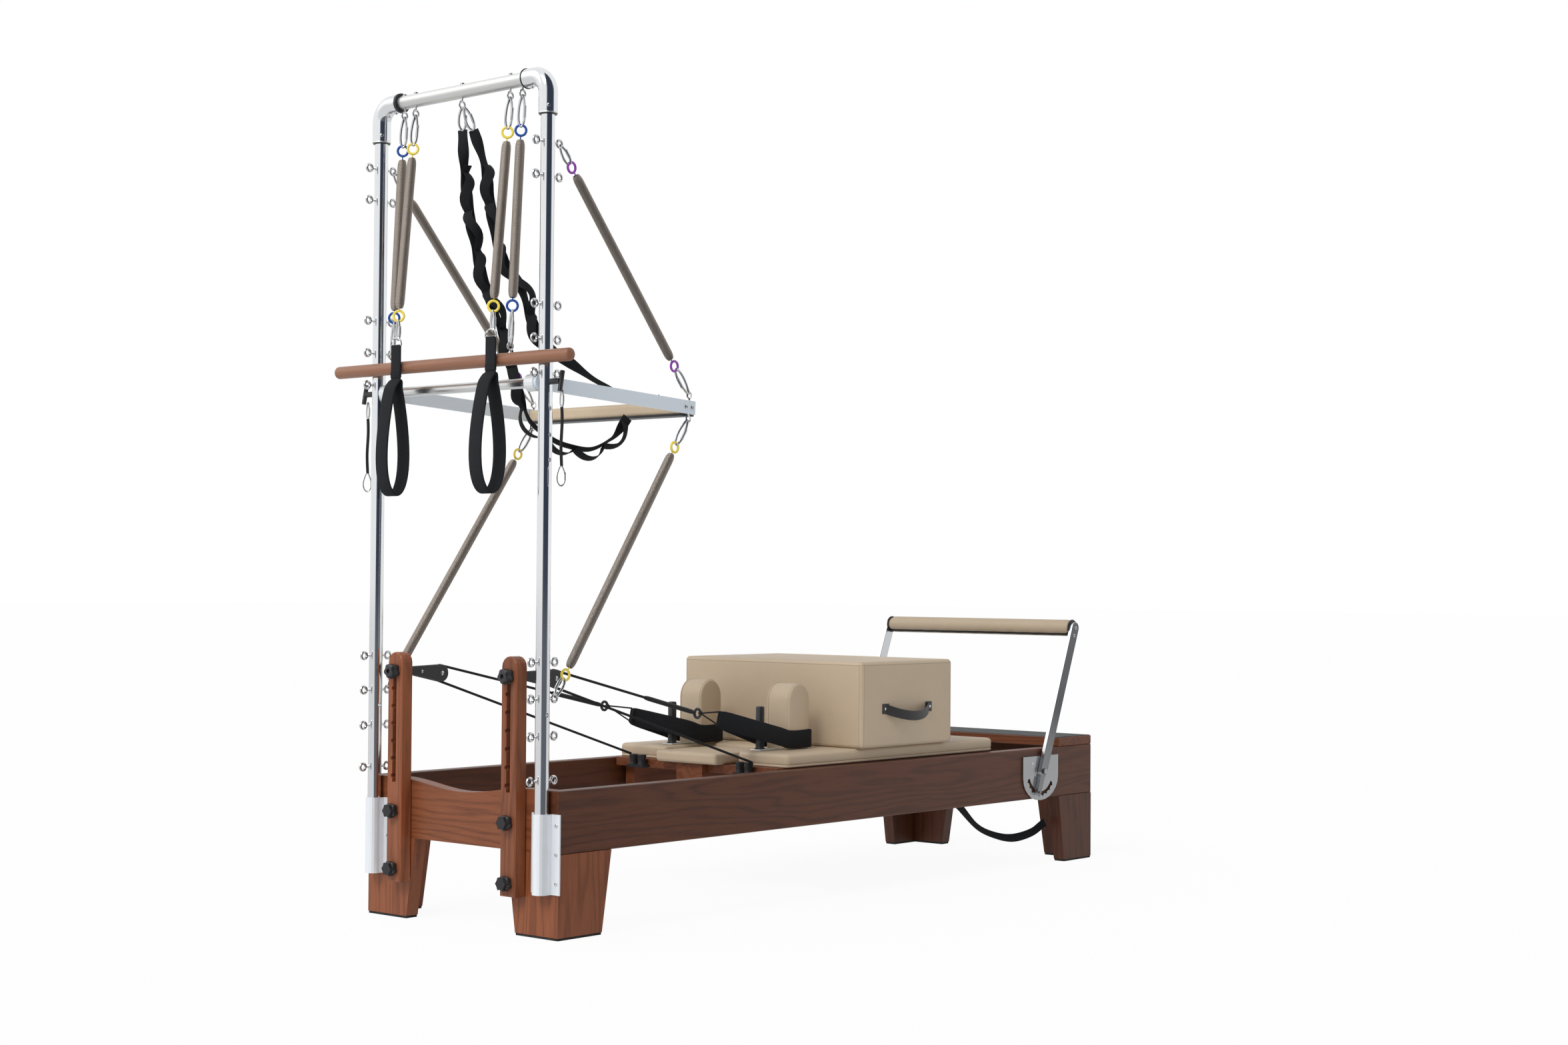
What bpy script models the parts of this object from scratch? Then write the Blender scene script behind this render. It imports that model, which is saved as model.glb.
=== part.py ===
"""Pilates reformer with a spring tower: timber bed, sliding carriage, footbar, pulleys and push-through bar.

Metres, +Z up. Everything is drawn from the head end (x = 0, where the tower stands) along the bed's
centre line (y = 0, near side at -y), and moved at the end so that the origin lies on the floor under
the middle of the object. Each sub-part is one closed solid in its own object.
"""
import math

import bmesh
import bpy
from mathutils import Matrix, Vector

# Fits
CLEAR = 0.0003            # gap between pieces that touch
RUN = 0.0006              # radial gap of a pin in its bore

# Bed
LENGTH = 2.400            # bed, head end to foot end
WIDTH = 0.725             # bed, outside of the side rails
RAIL_TOP = 0.369
RAIL_HEIGHT = 0.157
BOARD = 0.040             # thickness of rails, end boards and legs
HEAD_DIP = 0.024          # how far the head board's top edge sinks in the middle
HEAD_DIP_HALF = 0.255
LEG_TOP = 0.186           # breadth of each leg board under the rail
LEG_FOOT = 0.154          # and at the floor
PAD_FOOT = 0.006          # rubber pad under each leg
PLATFORM_DEPTH = 0.190    # standing platform, along the bed
PLATFORM_THICK = 0.028
PLATFORM_GRIP = 0.0017    # grip sheet on the platform
TRACK_REACH = 0.022       # ledge that the wheels run on
TRACK_HEIGHT = 0.024
TRACK_TOP = 0.279

# Tower
TUBE = 0.036              # diameter of the tower tube
TUBE_INSET = 0.0425       # tube centre inside the rails' outer faces
TUBE_FOOT = 0.115
CROSSBAR_Z = 2.153
ELBOW_BEND = 0.070
ELBOW_SOCKET = 0.028
ELBOW_WALL = 0.0035
BRACKET_BOTTOM = 0.113
BRACKET_HEIGHT = 0.199
BRACKET_WIDTH = 0.100
BRACKET_WALL = 0.004
EYE_LEVELS = (1.985, 1.900, 1.578, 1.492, 1.406, 0.688, 0.597, 0.504, 0.394)
EYE_REACH = 0.040         # eye centre from the tube's axis
EYE_RING = 0.009          # centre line radius of an eye
EYE_WIRE = 0.0025
CROSS_EYE_DROP = 0.035    # eye centre below the crossbar's axis
ELBOW_TO_SPRING = 0.023   # outer hanging spring from the elbow
SPRING_PAIR = 0.045       # between the two springs of a side
PIN_LEVELS = (1.318, 1.252, 1.190, 0.557)
AXLE_Z = 1.3845           # push bar pivot
PIN = 0.010               # diameter of the pull pin

# Riser posts, pulleys and ropes
TUBE_TO_POST = 0.1015     # centre to centre, across
POST_WIDTH = 0.056
POST_DEPTH = 0.038
POST_BOTTOM = 0.100
POST_TOP = 0.700
SLOT_WIDTH = 0.014
SLOT_BOTTOM = 0.360
SLOT_TOP = 0.666
NOTCH_COUNT = 7
NOTCH_FIRST = 0.376
NOTCH_PITCH = 0.0457
CLAMP_LEVELS = (0.285, 0.134)
KNOB = 0.036
KNOB_THICK = 0.014
PULLEY_X = 0.115
PULLEY_Z = 0.641
SHEAVE = 0.041
SHEAVE_WIDTH = 0.011
ROPE = 0.007
ROPE_SLEEVE = 0.011
RING_X = {-1: 0.660, 1: 0.715}      # where each rope ends in its ring
RING_Z = 0.530
RING_LINK = 0.012         # centre line radius of the ring on the rope

# Carriage
CARRIAGE_HEAD = 0.885     # head end of the carriage board
CARRIAGE_FOOT = 1.895
CARRIAGE_BOARD = 0.025
BOARD_SIDE_GAP = 0.0105   # board edge to side rail
DECK = 0.372              # top of the carriage board
PAD_THICK = 0.038
PAD_HEAD = 0.913
PAD_FOOT_END = 1.903
PAD_HALF = 0.326
HEADREST_HEAD = 0.846
HEADREST_FOOT = 1.095
HEADREST_HALF = 0.118
HEADREST_THICK = 0.0325
NOTCH_SIDE_GAP = 0.0205
NOTCH_END_GAP = 0.017
WHEEL = 0.050
WHEEL_WIDTH = 0.016
WHEEL_X = (0.985, 1.815)
REST_X = (1.052, 1.143)
REST_Y = (0.1275, 0.2150)
REST_TOP = 0.598
PEG_X = 0.975
PEG = 0.022
PEG_TOP = 0.536
CLEAT_X = 0.868
CLEAT_INSET = 0.0115      # cleat's centre inside its rope
CLEAT_DRUM = 0.026

# Carriage springs
SPRING_BAR_X = 2.150
BED_SPRING_COUNT = 5
BEAM_TO_SPRING = 0.0535   # carriage beam to the outer spring
BEAM_WIDTH = 0.034
BEAM_TO_WHEEL = 0.003
BED_SPRING = 0.026
BED_SPRING_Z = 0.300
HOOK_BEAM_X = 1.560

# Sitting box
BOX_X = (1.218, 1.656)
BOX_HALF = 0.3475
BOX_HEIGHT = 0.250
HANDLE_X = (1.337, 1.523)
HANDLE_RISE = 0.112       # handle centre above the box's bottom
HANDLE_STAND = 0.034
HANDLE_WIDTH = 0.028
STRAP_THICK = 0.003

# Footbar
FOOT_PIVOT_X = 2.103
FOOT_PIVOT_Z = 0.298
FOOT_ARM = 0.483          # pivot to bar
FOOT_TAIL = 0.070         # pivot to lock pin
FOOT_LEAN = math.radians(21.5)
FOOT_ARM_WIDE = 0.033
FOOT_ARM_THICK = 0.012
FOOT_TUBE = 0.030
FOOT_PAD = 0.055
PLATE_HALF = 0.0975
PLATE_TOP = 0.346
PLATE_KNEE = 0.279
PLATE_TIP = 0.206
PLATE_THICK = 0.005
LOCK_PIN = 0.008
LATCH_DROP = 0.006        # how far the frame drops to seat its pins in a notch
TILT_FORWARD = 45         # degrees, towards the foot end
TILT_BACK = 75            # degrees, towards the carriage
TOOTH_STEP = 15
PIVOT_BOLT = 0.010

# Push-through bar and its springs
ARM_REACH = 0.572         # axle to arm end
ARM_DROP = 0.030          # the bar's far end hangs this much lower
ARM_HEIGHT = 0.036
ARM_THICK = 0.008
AXLE = 0.026
HUB = 0.044
HUB_LENGTH = 0.032
GRIP_X = (0.520, 0.578)   # from the axle
GRIP_HEIGHT = 0.034
SPRING_EYE_X = 0.546      # arm eye from the axle
EYE_OUT = 0.003           # arm eye outside the arm's middle, clear of the grip
SPRING = 0.025
SPRING_NECK = 0.010
WIRE = 0.0018             # radius of clip wire
UPPER_EYE = 1.985
LOWER_EYE = 0.597
CLIP = 0.052
RING_OUT = 0.033          # outside of a coloured ring
RING_WIRE = 0.003
TOP_LINK = 0.092          # tower eye to coil
END_LINK = 0.118          # coil to arm eye

# Roll-down bar and hanging loops
ROLL_BAR = 0.033
ROLL_LENGTH = 0.900
ROLL_Z = 1.444
HANG_COIL = (2.000, 1.598)    # heights of the hanging coils' ends
LOOP_TOP = 1.500
LOOP_SPLIT = 1.412
LOOP_BOTTOM = 1.107
LOOP_SPREAD = 0.084
LOOP_WIDTH = 0.045
LOOP_THICK = 0.006

# Derived places
HALF = WIDTH / 2
INNER = HALF - BOARD
TUBE_Y = HALF - TUBE_INSET
OUTER_SPRING_Y = TUBE_Y - ELBOW_BEND - ELBOW_TO_SPRING
INNER_SPRING_Y = OUTER_SPRING_Y - SPRING_PAIR
POST_Y = TUBE_Y - TUBE_TO_POST
CLEAT_Y = POST_Y - CLEAT_INSET
RAIL_BOTTOM = RAIL_TOP - RAIL_HEIGHT
TUBE_R = TUBE / 2
TUBE_X = -(TUBE_R + 2 * CLEAR)
ROLL_X = TUBE_X - TUBE_R - ROLL_BAR / 2 - 2 * CLEAR
LOOP_X = ROLL_X - ROLL_BAR / 2 - LOOP_THICK - 2 * CLEAR
CROSS_EYE_Z = CROSSBAR_Z - CROSS_EYE_DROP
ELBOW_MOUTH = CROSSBAR_Z - ELBOW_BEND - ELBOW_SOCKET
HOOK_IN = EYE_RING - EYE_WIRE - WIRE - 2 * CLEAR
RING_RADIUS = RING_OUT / 2 - RING_WIRE
RING_FLAT = RING_RADIUS * math.cos(math.pi / 8)
PAD_BOTTOM = DECK + CLEAR
PAD_TOP = PAD_BOTTOM + PAD_THICK
ARM_Y = TUBE_Y - TUBE_R - CLEAR - ARM_THICK / 2
WHEEL_Y = INNER - TRACK_REACH / 2
BEAM_OUT = WHEEL_Y - WHEEL_WIDTH / 2 - BEAM_TO_WHEEL
WHEEL_Z = TRACK_TOP + WHEEL / 2 + CLEAR
FOOT_ARM_Y = HALF + CLEAR + PLATE_THICK + 2 * CLEAR + FOOT_ARM_THICK / 2
LOOP_REACH = LOOP_SPREAD * 0.485 + 0.010 - LOOP_X
ORIGIN_X = (LENGTH - LOOP_REACH) / 2
SIDES = {"near": -1, "far": 1}

FINISH = {
    "red_oak": ((0.185, 0.062, 0.030), 0.42, 0.0),
    "polished_steel": ((0.78, 0.79, 0.80), 0.14, 1.0),
    "aluminium": ((0.72, 0.73, 0.75), 0.34, 1.0),
    "anodised": ((0.50, 0.55, 0.61), 0.45, 0.8),
    "spring_steel": ((0.44, 0.41, 0.38), 0.34, 1.0),
    "leatherette": ((0.60, 0.50, 0.39), 0.55, 0.0),
    "black_plastic": ((0.018, 0.018, 0.020), 0.45, 0.0),
    "webbing": ((0.022, 0.023, 0.025), 0.85, 0.0),
    "rope": ((0.020, 0.020, 0.021), 0.80, 0.0),
    "bar_wood": ((0.36, 0.13, 0.07), 0.35, 0.0),
}


def clear_scene():
    for item in list(bpy.data.objects):
        bpy.data.objects.remove(item, do_unlink=True)


def collection(name):
    made = bpy.data.collections.new(name)
    bpy.context.scene.collection.children.link(made)
    return made


def finish(name):
    """The Principled material called name, made on first use."""
    found = bpy.data.materials.get(name)
    if found:
        return found
    colour, roughness, metallic = FINISH[name]
    made = bpy.data.materials.new(name)
    made.use_nodes = True
    shader = made.node_tree.nodes["Principled BSDF"]
    shader.inputs["Base Color"].default_value = (*colour, 1.0)
    shader.inputs["Roughness"].default_value = roughness
    shader.inputs["Metallic"].default_value = metallic
    made.diffuse_color = (*colour, 1.0)
    return made


def shape(build):
    """A loose working object whose mesh the function build fills."""
    mesh = bpy.data.meshes.new("shape")
    bm = bmesh.new()
    build(bm)
    bm.normal_update()
    bmesh.ops.recalc_face_normals(bm, faces=bm.faces)
    bm.to_mesh(mesh)
    bm.free()
    made = bpy.data.objects.new("shape", mesh)
    CUTTERS.objects.link(made)
    made.hide_render = True
    made.display_type = "WIRE"
    return made


def block(low, high, round_edges=0.0, steps=1):
    """A box between two corners, with its edges rounded."""
    low = Vector(low)
    high = Vector(high)
    size = high - low

    def build(bm):
        bmesh.ops.create_cube(bm, size=1.0)
        bmesh.ops.scale(bm, vec=size, verts=bm.verts)
        bmesh.ops.translate(bm, vec=(low + high) / 2, verts=bm.verts)
        if round_edges:
            bmesh.ops.bevel(bm, geom=list(bm.edges), offset=round_edges, segments=steps,
                            profile=0.5, affect="EDGES")
    return shape(build)


def aim(direction):
    """The turn that takes +Z to the direction."""
    return Vector(direction).to_track_quat("Z", "Y").to_matrix().to_4x4()


def rod(start, end, radius, sides=16, twist=0.0):
    """A cylinder from start to end, turned about its own line by twist."""
    start = Vector(start)
    end = Vector(end)
    along = end - start

    def build(bm):
        bmesh.ops.create_cone(bm, cap_ends=True, segments=sides, radius1=radius, radius2=radius,
                              depth=along.length)
        bm.transform(Matrix.Translation((start + end) / 2) @ aim(along) @ Matrix.Rotation(twist, 4, "Z"))
    return shape(build)


def hoop(centre, axis, radius, wire, around=12, section=5, stretch=(0, 0, 0)):
    """A torus about axis, pulled apart into a long link where stretch isn't zero."""
    turn = aim(axis)
    pull = Vector(stretch)

    def build(bm):
        rings = []
        for i in range(around):
            angle = 2 * math.pi * (i + 0.5) / around
            out = (turn @ Vector((math.cos(angle), math.sin(angle), 0, 0))).to_3d()
            side = 1 if out.dot(pull) > 0 else -1
            middle = Vector(centre) + out * radius + pull * (side * 0.5)
            up = (turn @ Vector((0, 0, 1, 0))).to_3d()
            ring = []
            for j in range(section):
                roll = 2 * math.pi * j / section
                ring.append(bm.verts.new(middle + wire * (math.cos(roll) * out + math.sin(roll) * up)))
            rings.append(ring)
        bridge(bm, rings, closed=True)
    return shape(build)


def bridge(bm, rings, closed=False):
    """Quads between neighbouring rings of verts."""
    count = len(rings[0])
    pairs = len(rings) if closed else len(rings) - 1
    for i in range(pairs):
        here = rings[i]
        there = rings[(i + 1) % len(rings)]
        for j in range(count):
            k = (j + 1) % count
            bm.faces.new((here[j], here[k], there[k], there[j]))
    if not closed:
        bm.faces.new(list(reversed(rings[0])))
        bm.faces.new(rings[-1])


def plank(points, axis, low, high, round_edges=0.0):
    """A flat outline carried straight along axis (0, 1 or 2); its points are in the two other axes."""
    rest = [a for a in range(3) if a != axis]

    def build(bm):
        verts = []
        for p in points:
            place = [0.0, 0.0, 0.0]
            place[rest[0]] = p[0]
            place[rest[1]] = p[1]
            place[axis] = low
            verts.append(bm.verts.new(place))
        face = bm.faces.new(verts)
        grown = bmesh.ops.extrude_face_region(bm, geom=[face])
        move = [0.0, 0.0, 0.0]
        move[axis] = high - low
        moved = [g for g in grown["geom"] if isinstance(g, bmesh.types.BMVert)]
        bmesh.ops.translate(bm, vec=move, verts=moved)
        if round_edges:
            flat = [e for e in bm.edges if abs(e.verts[0].co[axis] - e.verts[1].co[axis]) < 1e-7]
            bmesh.ops.bevel(bm, geom=flat, offset=round_edges, segments=1, profile=0.5, affect="EDGES")
    return shape(build)


def pipe(points, radius, resolution=2):
    """A round tube along the points: a bevelled poly curve with filled caps, made a mesh."""
    curve = bpy.data.curves.new("route", "CURVE")
    curve.dimensions = "3D"
    curve.bevel_depth = radius
    curve.bevel_resolution = resolution
    curve.use_fill_caps = True
    spline = curve.splines.new("POLY")
    spline.points.add(len(points) - 1)
    for spot, p in zip(spline.points, points):
        spot.co = (*p, 1.0)
    drawn = bpy.data.objects.new("route", curve)
    CUTTERS.objects.link(drawn)
    bpy.context.view_layer.update()
    view = drawn.evaluated_get(bpy.context.evaluated_depsgraph_get())
    mesh = bpy.data.meshes.new_from_object(view)
    bm = bmesh.new()
    bm.from_mesh(mesh)
    bmesh.ops.remove_doubles(bm, verts=bm.verts, dist=1e-6)
    bm.normal_update()
    bmesh.ops.recalc_face_normals(bm, faces=bm.faces)
    bm.to_mesh(mesh)
    bm.free()
    made = bpy.data.objects.new("shape", mesh)
    made.matrix_world = drawn.matrix_world.copy()
    bpy.data.objects.remove(drawn, do_unlink=True)
    CUTTERS.objects.link(made)
    made.hide_render = True
    made.display_type = "WIRE"
    return made


def turned(profile, start, direction, sides=16):
    """A profile of (radius, distance along) turned about the line from start in direction."""
    mesh = bpy.data.meshes.new("profile")
    points = [(r, 0.0, d) for r, d in reversed(profile)]
    mesh.from_pydata(points, [(i, i + 1) for i in range(len(points) - 1)], [])
    drawn = bpy.data.objects.new("profile", mesh)
    CUTTERS.objects.link(drawn)
    screw = drawn.modifiers.new("turn", "SCREW")
    screw.axis = "Z"
    screw.steps = sides
    screw.render_steps = sides
    screw.use_merge_vertices = True
    screw.merge_threshold = 0.00001
    bpy.context.view_layer.update()
    view = drawn.evaluated_get(bpy.context.evaluated_depsgraph_get())
    made_mesh = bpy.data.meshes.new_from_object(view)
    made_mesh.transform(Matrix.Translation(Vector(start)) @ aim(direction))
    bm = bmesh.new()
    bm.from_mesh(made_mesh)
    bmesh.ops.remove_doubles(bm, verts=bm.verts, dist=1e-6)
    bm.normal_update()
    bmesh.ops.recalc_face_normals(bm, faces=bm.faces)
    bm.to_mesh(made_mesh)
    bm.free()
    bpy.data.objects.remove(drawn, do_unlink=True)
    made = bpy.data.objects.new("shape", made_mesh)
    CUTTERS.objects.link(made)
    made.hide_render = True
    made.display_type = "WIRE"
    return made


def strap(points, across, width, thick):
    """A flat band: a rectangle carried along points, its width lying along the matching across vector."""
    points = [Vector(p) for p in points]

    def build(bm):
        rings = []
        for i, p in enumerate(points):
            along = (points[min(i + 1, len(points) - 1)] - points[max(i - 1, 0)]).normalized()
            wide = Vector(across[i])
            wide = (wide - along * wide.dot(along)).normalized()
            flat = along.cross(wide)
            ring = []
            for a, b in ((-1, -1), (1, -1), (1, 1), (-1, 1)):
                ring.append(bm.verts.new(p + wide * (a * width / 2) + flat * (b * thick / 2)))
            rings.append(ring)
        bridge(bm, rings)
    return shape(build)


def band_loop(points, wide, width, thick):
    """A closed band whose width lies along one direction."""
    points = [Vector(p) for p in points]
    wide = Vector(wide).normalized()
    count = len(points)

    def build(bm):
        rings = []
        for i, p in enumerate(points):
            along = (points[(i + 1) % count] - points[i - 1]).normalized()
            flat = along.cross(wide).normalized()
            ring = []
            for a, b in ((-1, -1), (1, -1), (1, 1), (-1, 1)):
                ring.append(bm.verts.new(p + wide * (a * width / 2) + flat * (b * thick / 2)))
            rings.append(ring)
        bridge(bm, rings, closed=True)
    return shape(build)


def cut_and_join(base, others=(), cutters=()):
    """Boolean union with the others and difference with the cutters, applied to the mesh."""
    for kind, pieces in (("UNION", others), ("DIFFERENCE", cutters)):
        for piece in pieces:
            step = base.modifiers.new(kind.lower(), "BOOLEAN")
            step.operation = kind
            step.solver = "EXACT"
            step.object = piece
    bpy.context.view_layer.update()
    view = base.evaluated_get(bpy.context.evaluated_depsgraph_get())
    mesh = bpy.data.meshes.new_from_object(view)
    base.modifiers.clear()
    base.data = mesh
    for piece in (*others, *cutters):
        bpy.data.objects.remove(piece, do_unlink=True)
    bm = bmesh.new()
    bm.from_mesh(mesh)
    bmesh.ops.remove_doubles(bm, verts=bm.verts, dist=2e-6)
    bmesh.ops.dissolve_degenerate(bm, edges=bm.edges, dist=1e-6)
    bm.to_mesh(mesh)
    bm.free()
    return base


def name_part(name, look, made, pivot=None, smooth=True):
    """Give a finished shape its name, material and collection, and its origin on its joint's axis."""
    made.name = name
    made.data.name = name
    made.data.materials.clear()
    made.data.materials.append(finish(look))
    if smooth:
        made.data.shade_smooth()
        made.data.set_sharp_from_angle(angle=math.radians(35))
    if pivot is not None:
        made.data.transform(Matrix.Translation(-Vector(pivot)))
        made.location = pivot
    CUTTERS.objects.unlink(made)
    PARTS.objects.link(made)
    made.hide_render = False
    made.display_type = "TEXTURED"
    return made


def part(name, look, pieces, cutters=(), pivot=None, smooth=True):
    made = cut_and_join(pieces[0], pieces[1:], cutters) if len(pieces) > 1 or cutters else pieces[0]
    return name_part(name, look, made, pivot, smooth)


def cushion(low, high, crown, edge, cells=(4, 3), cutters=()):
    """An upholstered pad: a caged box whose top swells by crown and whose sides draw in at mid height."""
    low = Vector(low)
    high = Vector(high)

    def stations(a, b, count):
        inner = [a + edge + (b - a - 2 * edge) * i / count for i in range(count + 1)]
        return [a, *inner, b]

    xs = stations(low.x, high.x, cells[0])
    ys = stations(low.y, high.y, cells[1])
    middle = (low + high) / 2
    half = (high - low) / 2

    def lift(x, y):
        u = (x - middle.x) / half.x
        v = (y - middle.y) / half.y
        return crown * (1 - u * u) * (1 - v * v)

    def build(bm):
        layers = []
        for z, rise in ((low.z, 0.0), (low.z + half.z * 0.7, 0.0), (high.z - crown, 1.0)):
            grid = [[bm.verts.new((x, y, z + rise * lift(x, y))) for y in ys] for x in xs]
            layers.append(grid)
        nx = len(xs) - 1
        ny = len(ys) - 1
        for grid, flip in ((layers[0], True), (layers[-1], False)):
            for i in range(nx):
                for j in range(ny):
                    quad = [grid[i][j], grid[i + 1][j], grid[i + 1][j + 1], grid[i][j + 1]]
                    bm.faces.new(reversed(quad) if flip else quad)
        for inner in layers[1:-1]:
            for i in range(1, nx):
                for j in range(1, ny):
                    bm.verts.remove(inner[i][j])
        rim = [(i, 0) for i in range(nx)] + [(nx, j) for j in range(ny)]
        rim += [(i, ny) for i in range(nx, 0, -1)] + [(0, j) for j in range(ny, 0, -1)]
        for a, b in zip(layers, layers[1:]):
            for k, (i, j) in enumerate(rim):
                p, q = rim[(k + 1) % len(rim)]
                bm.faces.new((a[i][j], a[p][q], b[p][q], b[i][j]))
    made = shape(build)
    soften = made.modifiers.new("soft", "SUBSURF")
    soften.levels = 1
    soften.render_levels = 1
    return cut_and_join(made, (), cutters)


def make_bed():
    """Side rails with their wheel tracks, end boards, standing platform and four angled legs."""
    for name, side in SIDES.items():
        rail = block((0, -HALF, RAIL_BOTTOM), (LENGTH, -INNER, RAIL_TOP), 0.002)
        track = block((BOARD + 0.02, -INNER - 0.004, TRACK_TOP - TRACK_HEIGHT),
                      (LENGTH - BOARD - 0.02, -INNER + TRACK_REACH, TRACK_TOP), 0.002)
        lip = block((BOARD + 0.02, -INNER + TRACK_REACH - 0.003, TRACK_TOP - TRACK_HEIGHT - 0.01),
                    (LENGTH - BOARD - 0.02, -INNER + TRACK_REACH + 0.001, TRACK_TOP - 0.002))
        for piece in (rail, track, lip):
            if side > 0:
                flip_y(piece)
        part(f"side_rail_{name}", "red_oak", [rail, track, lip])

    reach = INNER - CLEAR
    steps = 12
    outline = [(-reach, RAIL_BOTTOM), (reach, RAIL_BOTTOM), (reach, RAIL_TOP)]
    for i in range(steps + 1):
        y = HEAD_DIP_HALF * (1 - 2 * i / steps)
        dip = HEAD_DIP * (0.5 + 0.5 * math.cos(math.pi * y / HEAD_DIP_HALF))
        outline.append((y, RAIL_TOP - dip))
    outline.append((-reach, RAIL_TOP))
    part("head_board", "red_oak", [plank(outline, 0, 0, BOARD)])
    part("foot_board", "red_oak",
         [block((LENGTH - BOARD, -reach, RAIL_BOTTOM), (LENGTH, reach, RAIL_TOP), 0.001)])

    seat = RAIL_TOP + CLEAR
    deck = block((LENGTH - PLATFORM_DEPTH, -HALF, seat), (LENGTH, HALF, seat + PLATFORM_THICK), 0.002)
    margin = 0.004
    grip = block((LENGTH - PLATFORM_DEPTH + margin, -HALF + margin, seat + PLATFORM_THICK - 0.002),
                 (LENGTH - margin, HALF - margin, seat + PLATFORM_THICK + PLATFORM_GRIP))
    part("standing_platform", "red_oak", [deck, grip])

    for end, at_foot in (("head", False), ("foot", True)):
        for name, side in SIDES.items():
            make_leg(f"leg_{end}_{name}", at_foot, side)


def flip_y(made):
    """Mirror a working shape across the centre line, faces still pointing out."""
    made.data.transform(Matrix.Scale(-1, 4, (0, 1, 0)))
    made.data.flip_normals()


def flip_x(made):
    """Mirror a working shape end for end."""
    made.data.transform(Matrix.Translation((LENGTH, 0, 0)) @ Matrix.Scale(-1, 4, (1, 0, 0)))
    made.data.flip_normals()


def make_leg(name, at_foot, side):
    """Two tapering boards meeting at the corner of the bed, on a thin rubber pad."""
    top = RAIL_BOTTOM - CLEAR
    taper = [(0, PAD_FOOT), (LEG_FOOT, PAD_FOOT), (LEG_TOP, top), (0, top)]
    along = plank(taper, 1, -HALF, -INNER)
    across = plank([(-HALF + p[0], p[1]) for p in taper], 0, 0, BOARD)
    inset = 0.0015
    low = -HALF + inset
    foot = LEG_FOOT - inset
    pad = plank([(inset, low), (foot, low), (foot, -INNER - inset), (BOARD - inset, -INNER - inset),
                 (BOARD - inset, -HALF + foot), (inset, -HALF + foot)], 2, 0, PAD_FOOT + 0.001)
    made = cut_and_join(along, [across, pad])
    if side > 0:
        flip_y(made)
    if at_foot:
        flip_x(made)
    name_part(name, "red_oak", made)


def eyebolt(seat, out, reach, standoff):
    """A shank from seat with an eye whose centre is reach away along out; the eye lies in the xz plane."""
    seat = Vector(seat)
    out = Vector(out)
    centre = seat + out * reach
    ring = hoop(centre, (0, 1, 0), EYE_RING, EYE_WIRE, around=8, section=3)
    shank = rod(seat + out * standoff, centre - out * (EYE_RING - 0.0005), 0.0028, sides=4, twist=0.3)
    return [ring, shank]


def make_tower():
    for name, side in SIDES.items():
        make_bracket(name, side)
        make_tube(name, side)
    make_crossbar()


def make_bracket(name, side):
    """An extruded channel: a half-round socket for the tube between two screw flanges."""
    half = BRACKET_WIDTH / 2
    inner = TUBE_R + CLEAR
    outer = inner + BRACKET_WALL
    face = -CLEAR
    outline = [(face, -half), (face - BRACKET_WALL, -half), (face - BRACKET_WALL, -outer)]
    steps = 10
    for i in range(steps + 1):
        angle = math.pi * i / steps
        outline.append((TUBE_X - outer * math.sin(angle), -outer * math.cos(angle)))
    outline += [(face - BRACKET_WALL, outer), (face - BRACKET_WALL, half), (face, half), (face, inner)]
    for i in range(steps + 1):
        angle = math.pi * (1 - i / steps)
        outline.append((TUBE_X - inner * math.sin(angle), -inner * math.cos(angle)))
    outline.append((face, -inner))
    made = plank([(x, y + side * TUBE_Y) for x, y in outline], 2, BRACKET_BOTTOM,
                 BRACKET_BOTTOM + BRACKET_HEIGHT)
    part(f"tower_bracket_{name}", "aluminium", [made])


def make_tube(name, side):
    """An upright with eyebolts fore and aft, cross holes for the pull pin and a safety leash."""
    y = side * TUBE_Y
    tube = rod((TUBE_X, y, TUBE_FOOT), (TUBE_X, y, ELBOW_MOUTH - CLEAR), TUBE_R, sides=18)
    bolts = []
    for level in EYE_LEVELS:
        for way in (-1, 1):
            bolts += eyebolt((TUBE_X, y, level), (way, 0, 0), EYE_REACH, TUBE_R - 0.004)
    holes = []
    for level in (*PIN_LEVELS, AXLE_Z):
        sides = 8 if level == AXLE_Z else 6
        holes.append(rod((TUBE_X, y - TUBE, level), (TUBE_X, y + TUBE, level), PIN / 2 + RUN, sides=sides))
    leash = make_leash(y)
    part(f"tower_tube_{name}", "polished_steel", [tube, *bolts, *leash], holes)


def make_leash(y):
    """The short sleeved safety cord that hangs from the eye above the push bar's pivot."""
    top = EYE_LEVELS[4] - EYE_RING
    x = TUBE_X + EYE_REACH
    clip = hoop((x, y, top - 0.022), (1, 0, 0), 0.006, WIRE, around=8, section=3, stretch=(0, 0, 0.030))
    cord = rod((x, y, top - 0.042), (x, y, top - 0.205), 0.0045, sides=8)
    eye = hoop((x, y, top - 0.222), (0, 1, 0), 0.009, 0.0025, around=8, section=3, stretch=(0, 0, 0.018))
    return [clip, cord, eye]


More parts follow.
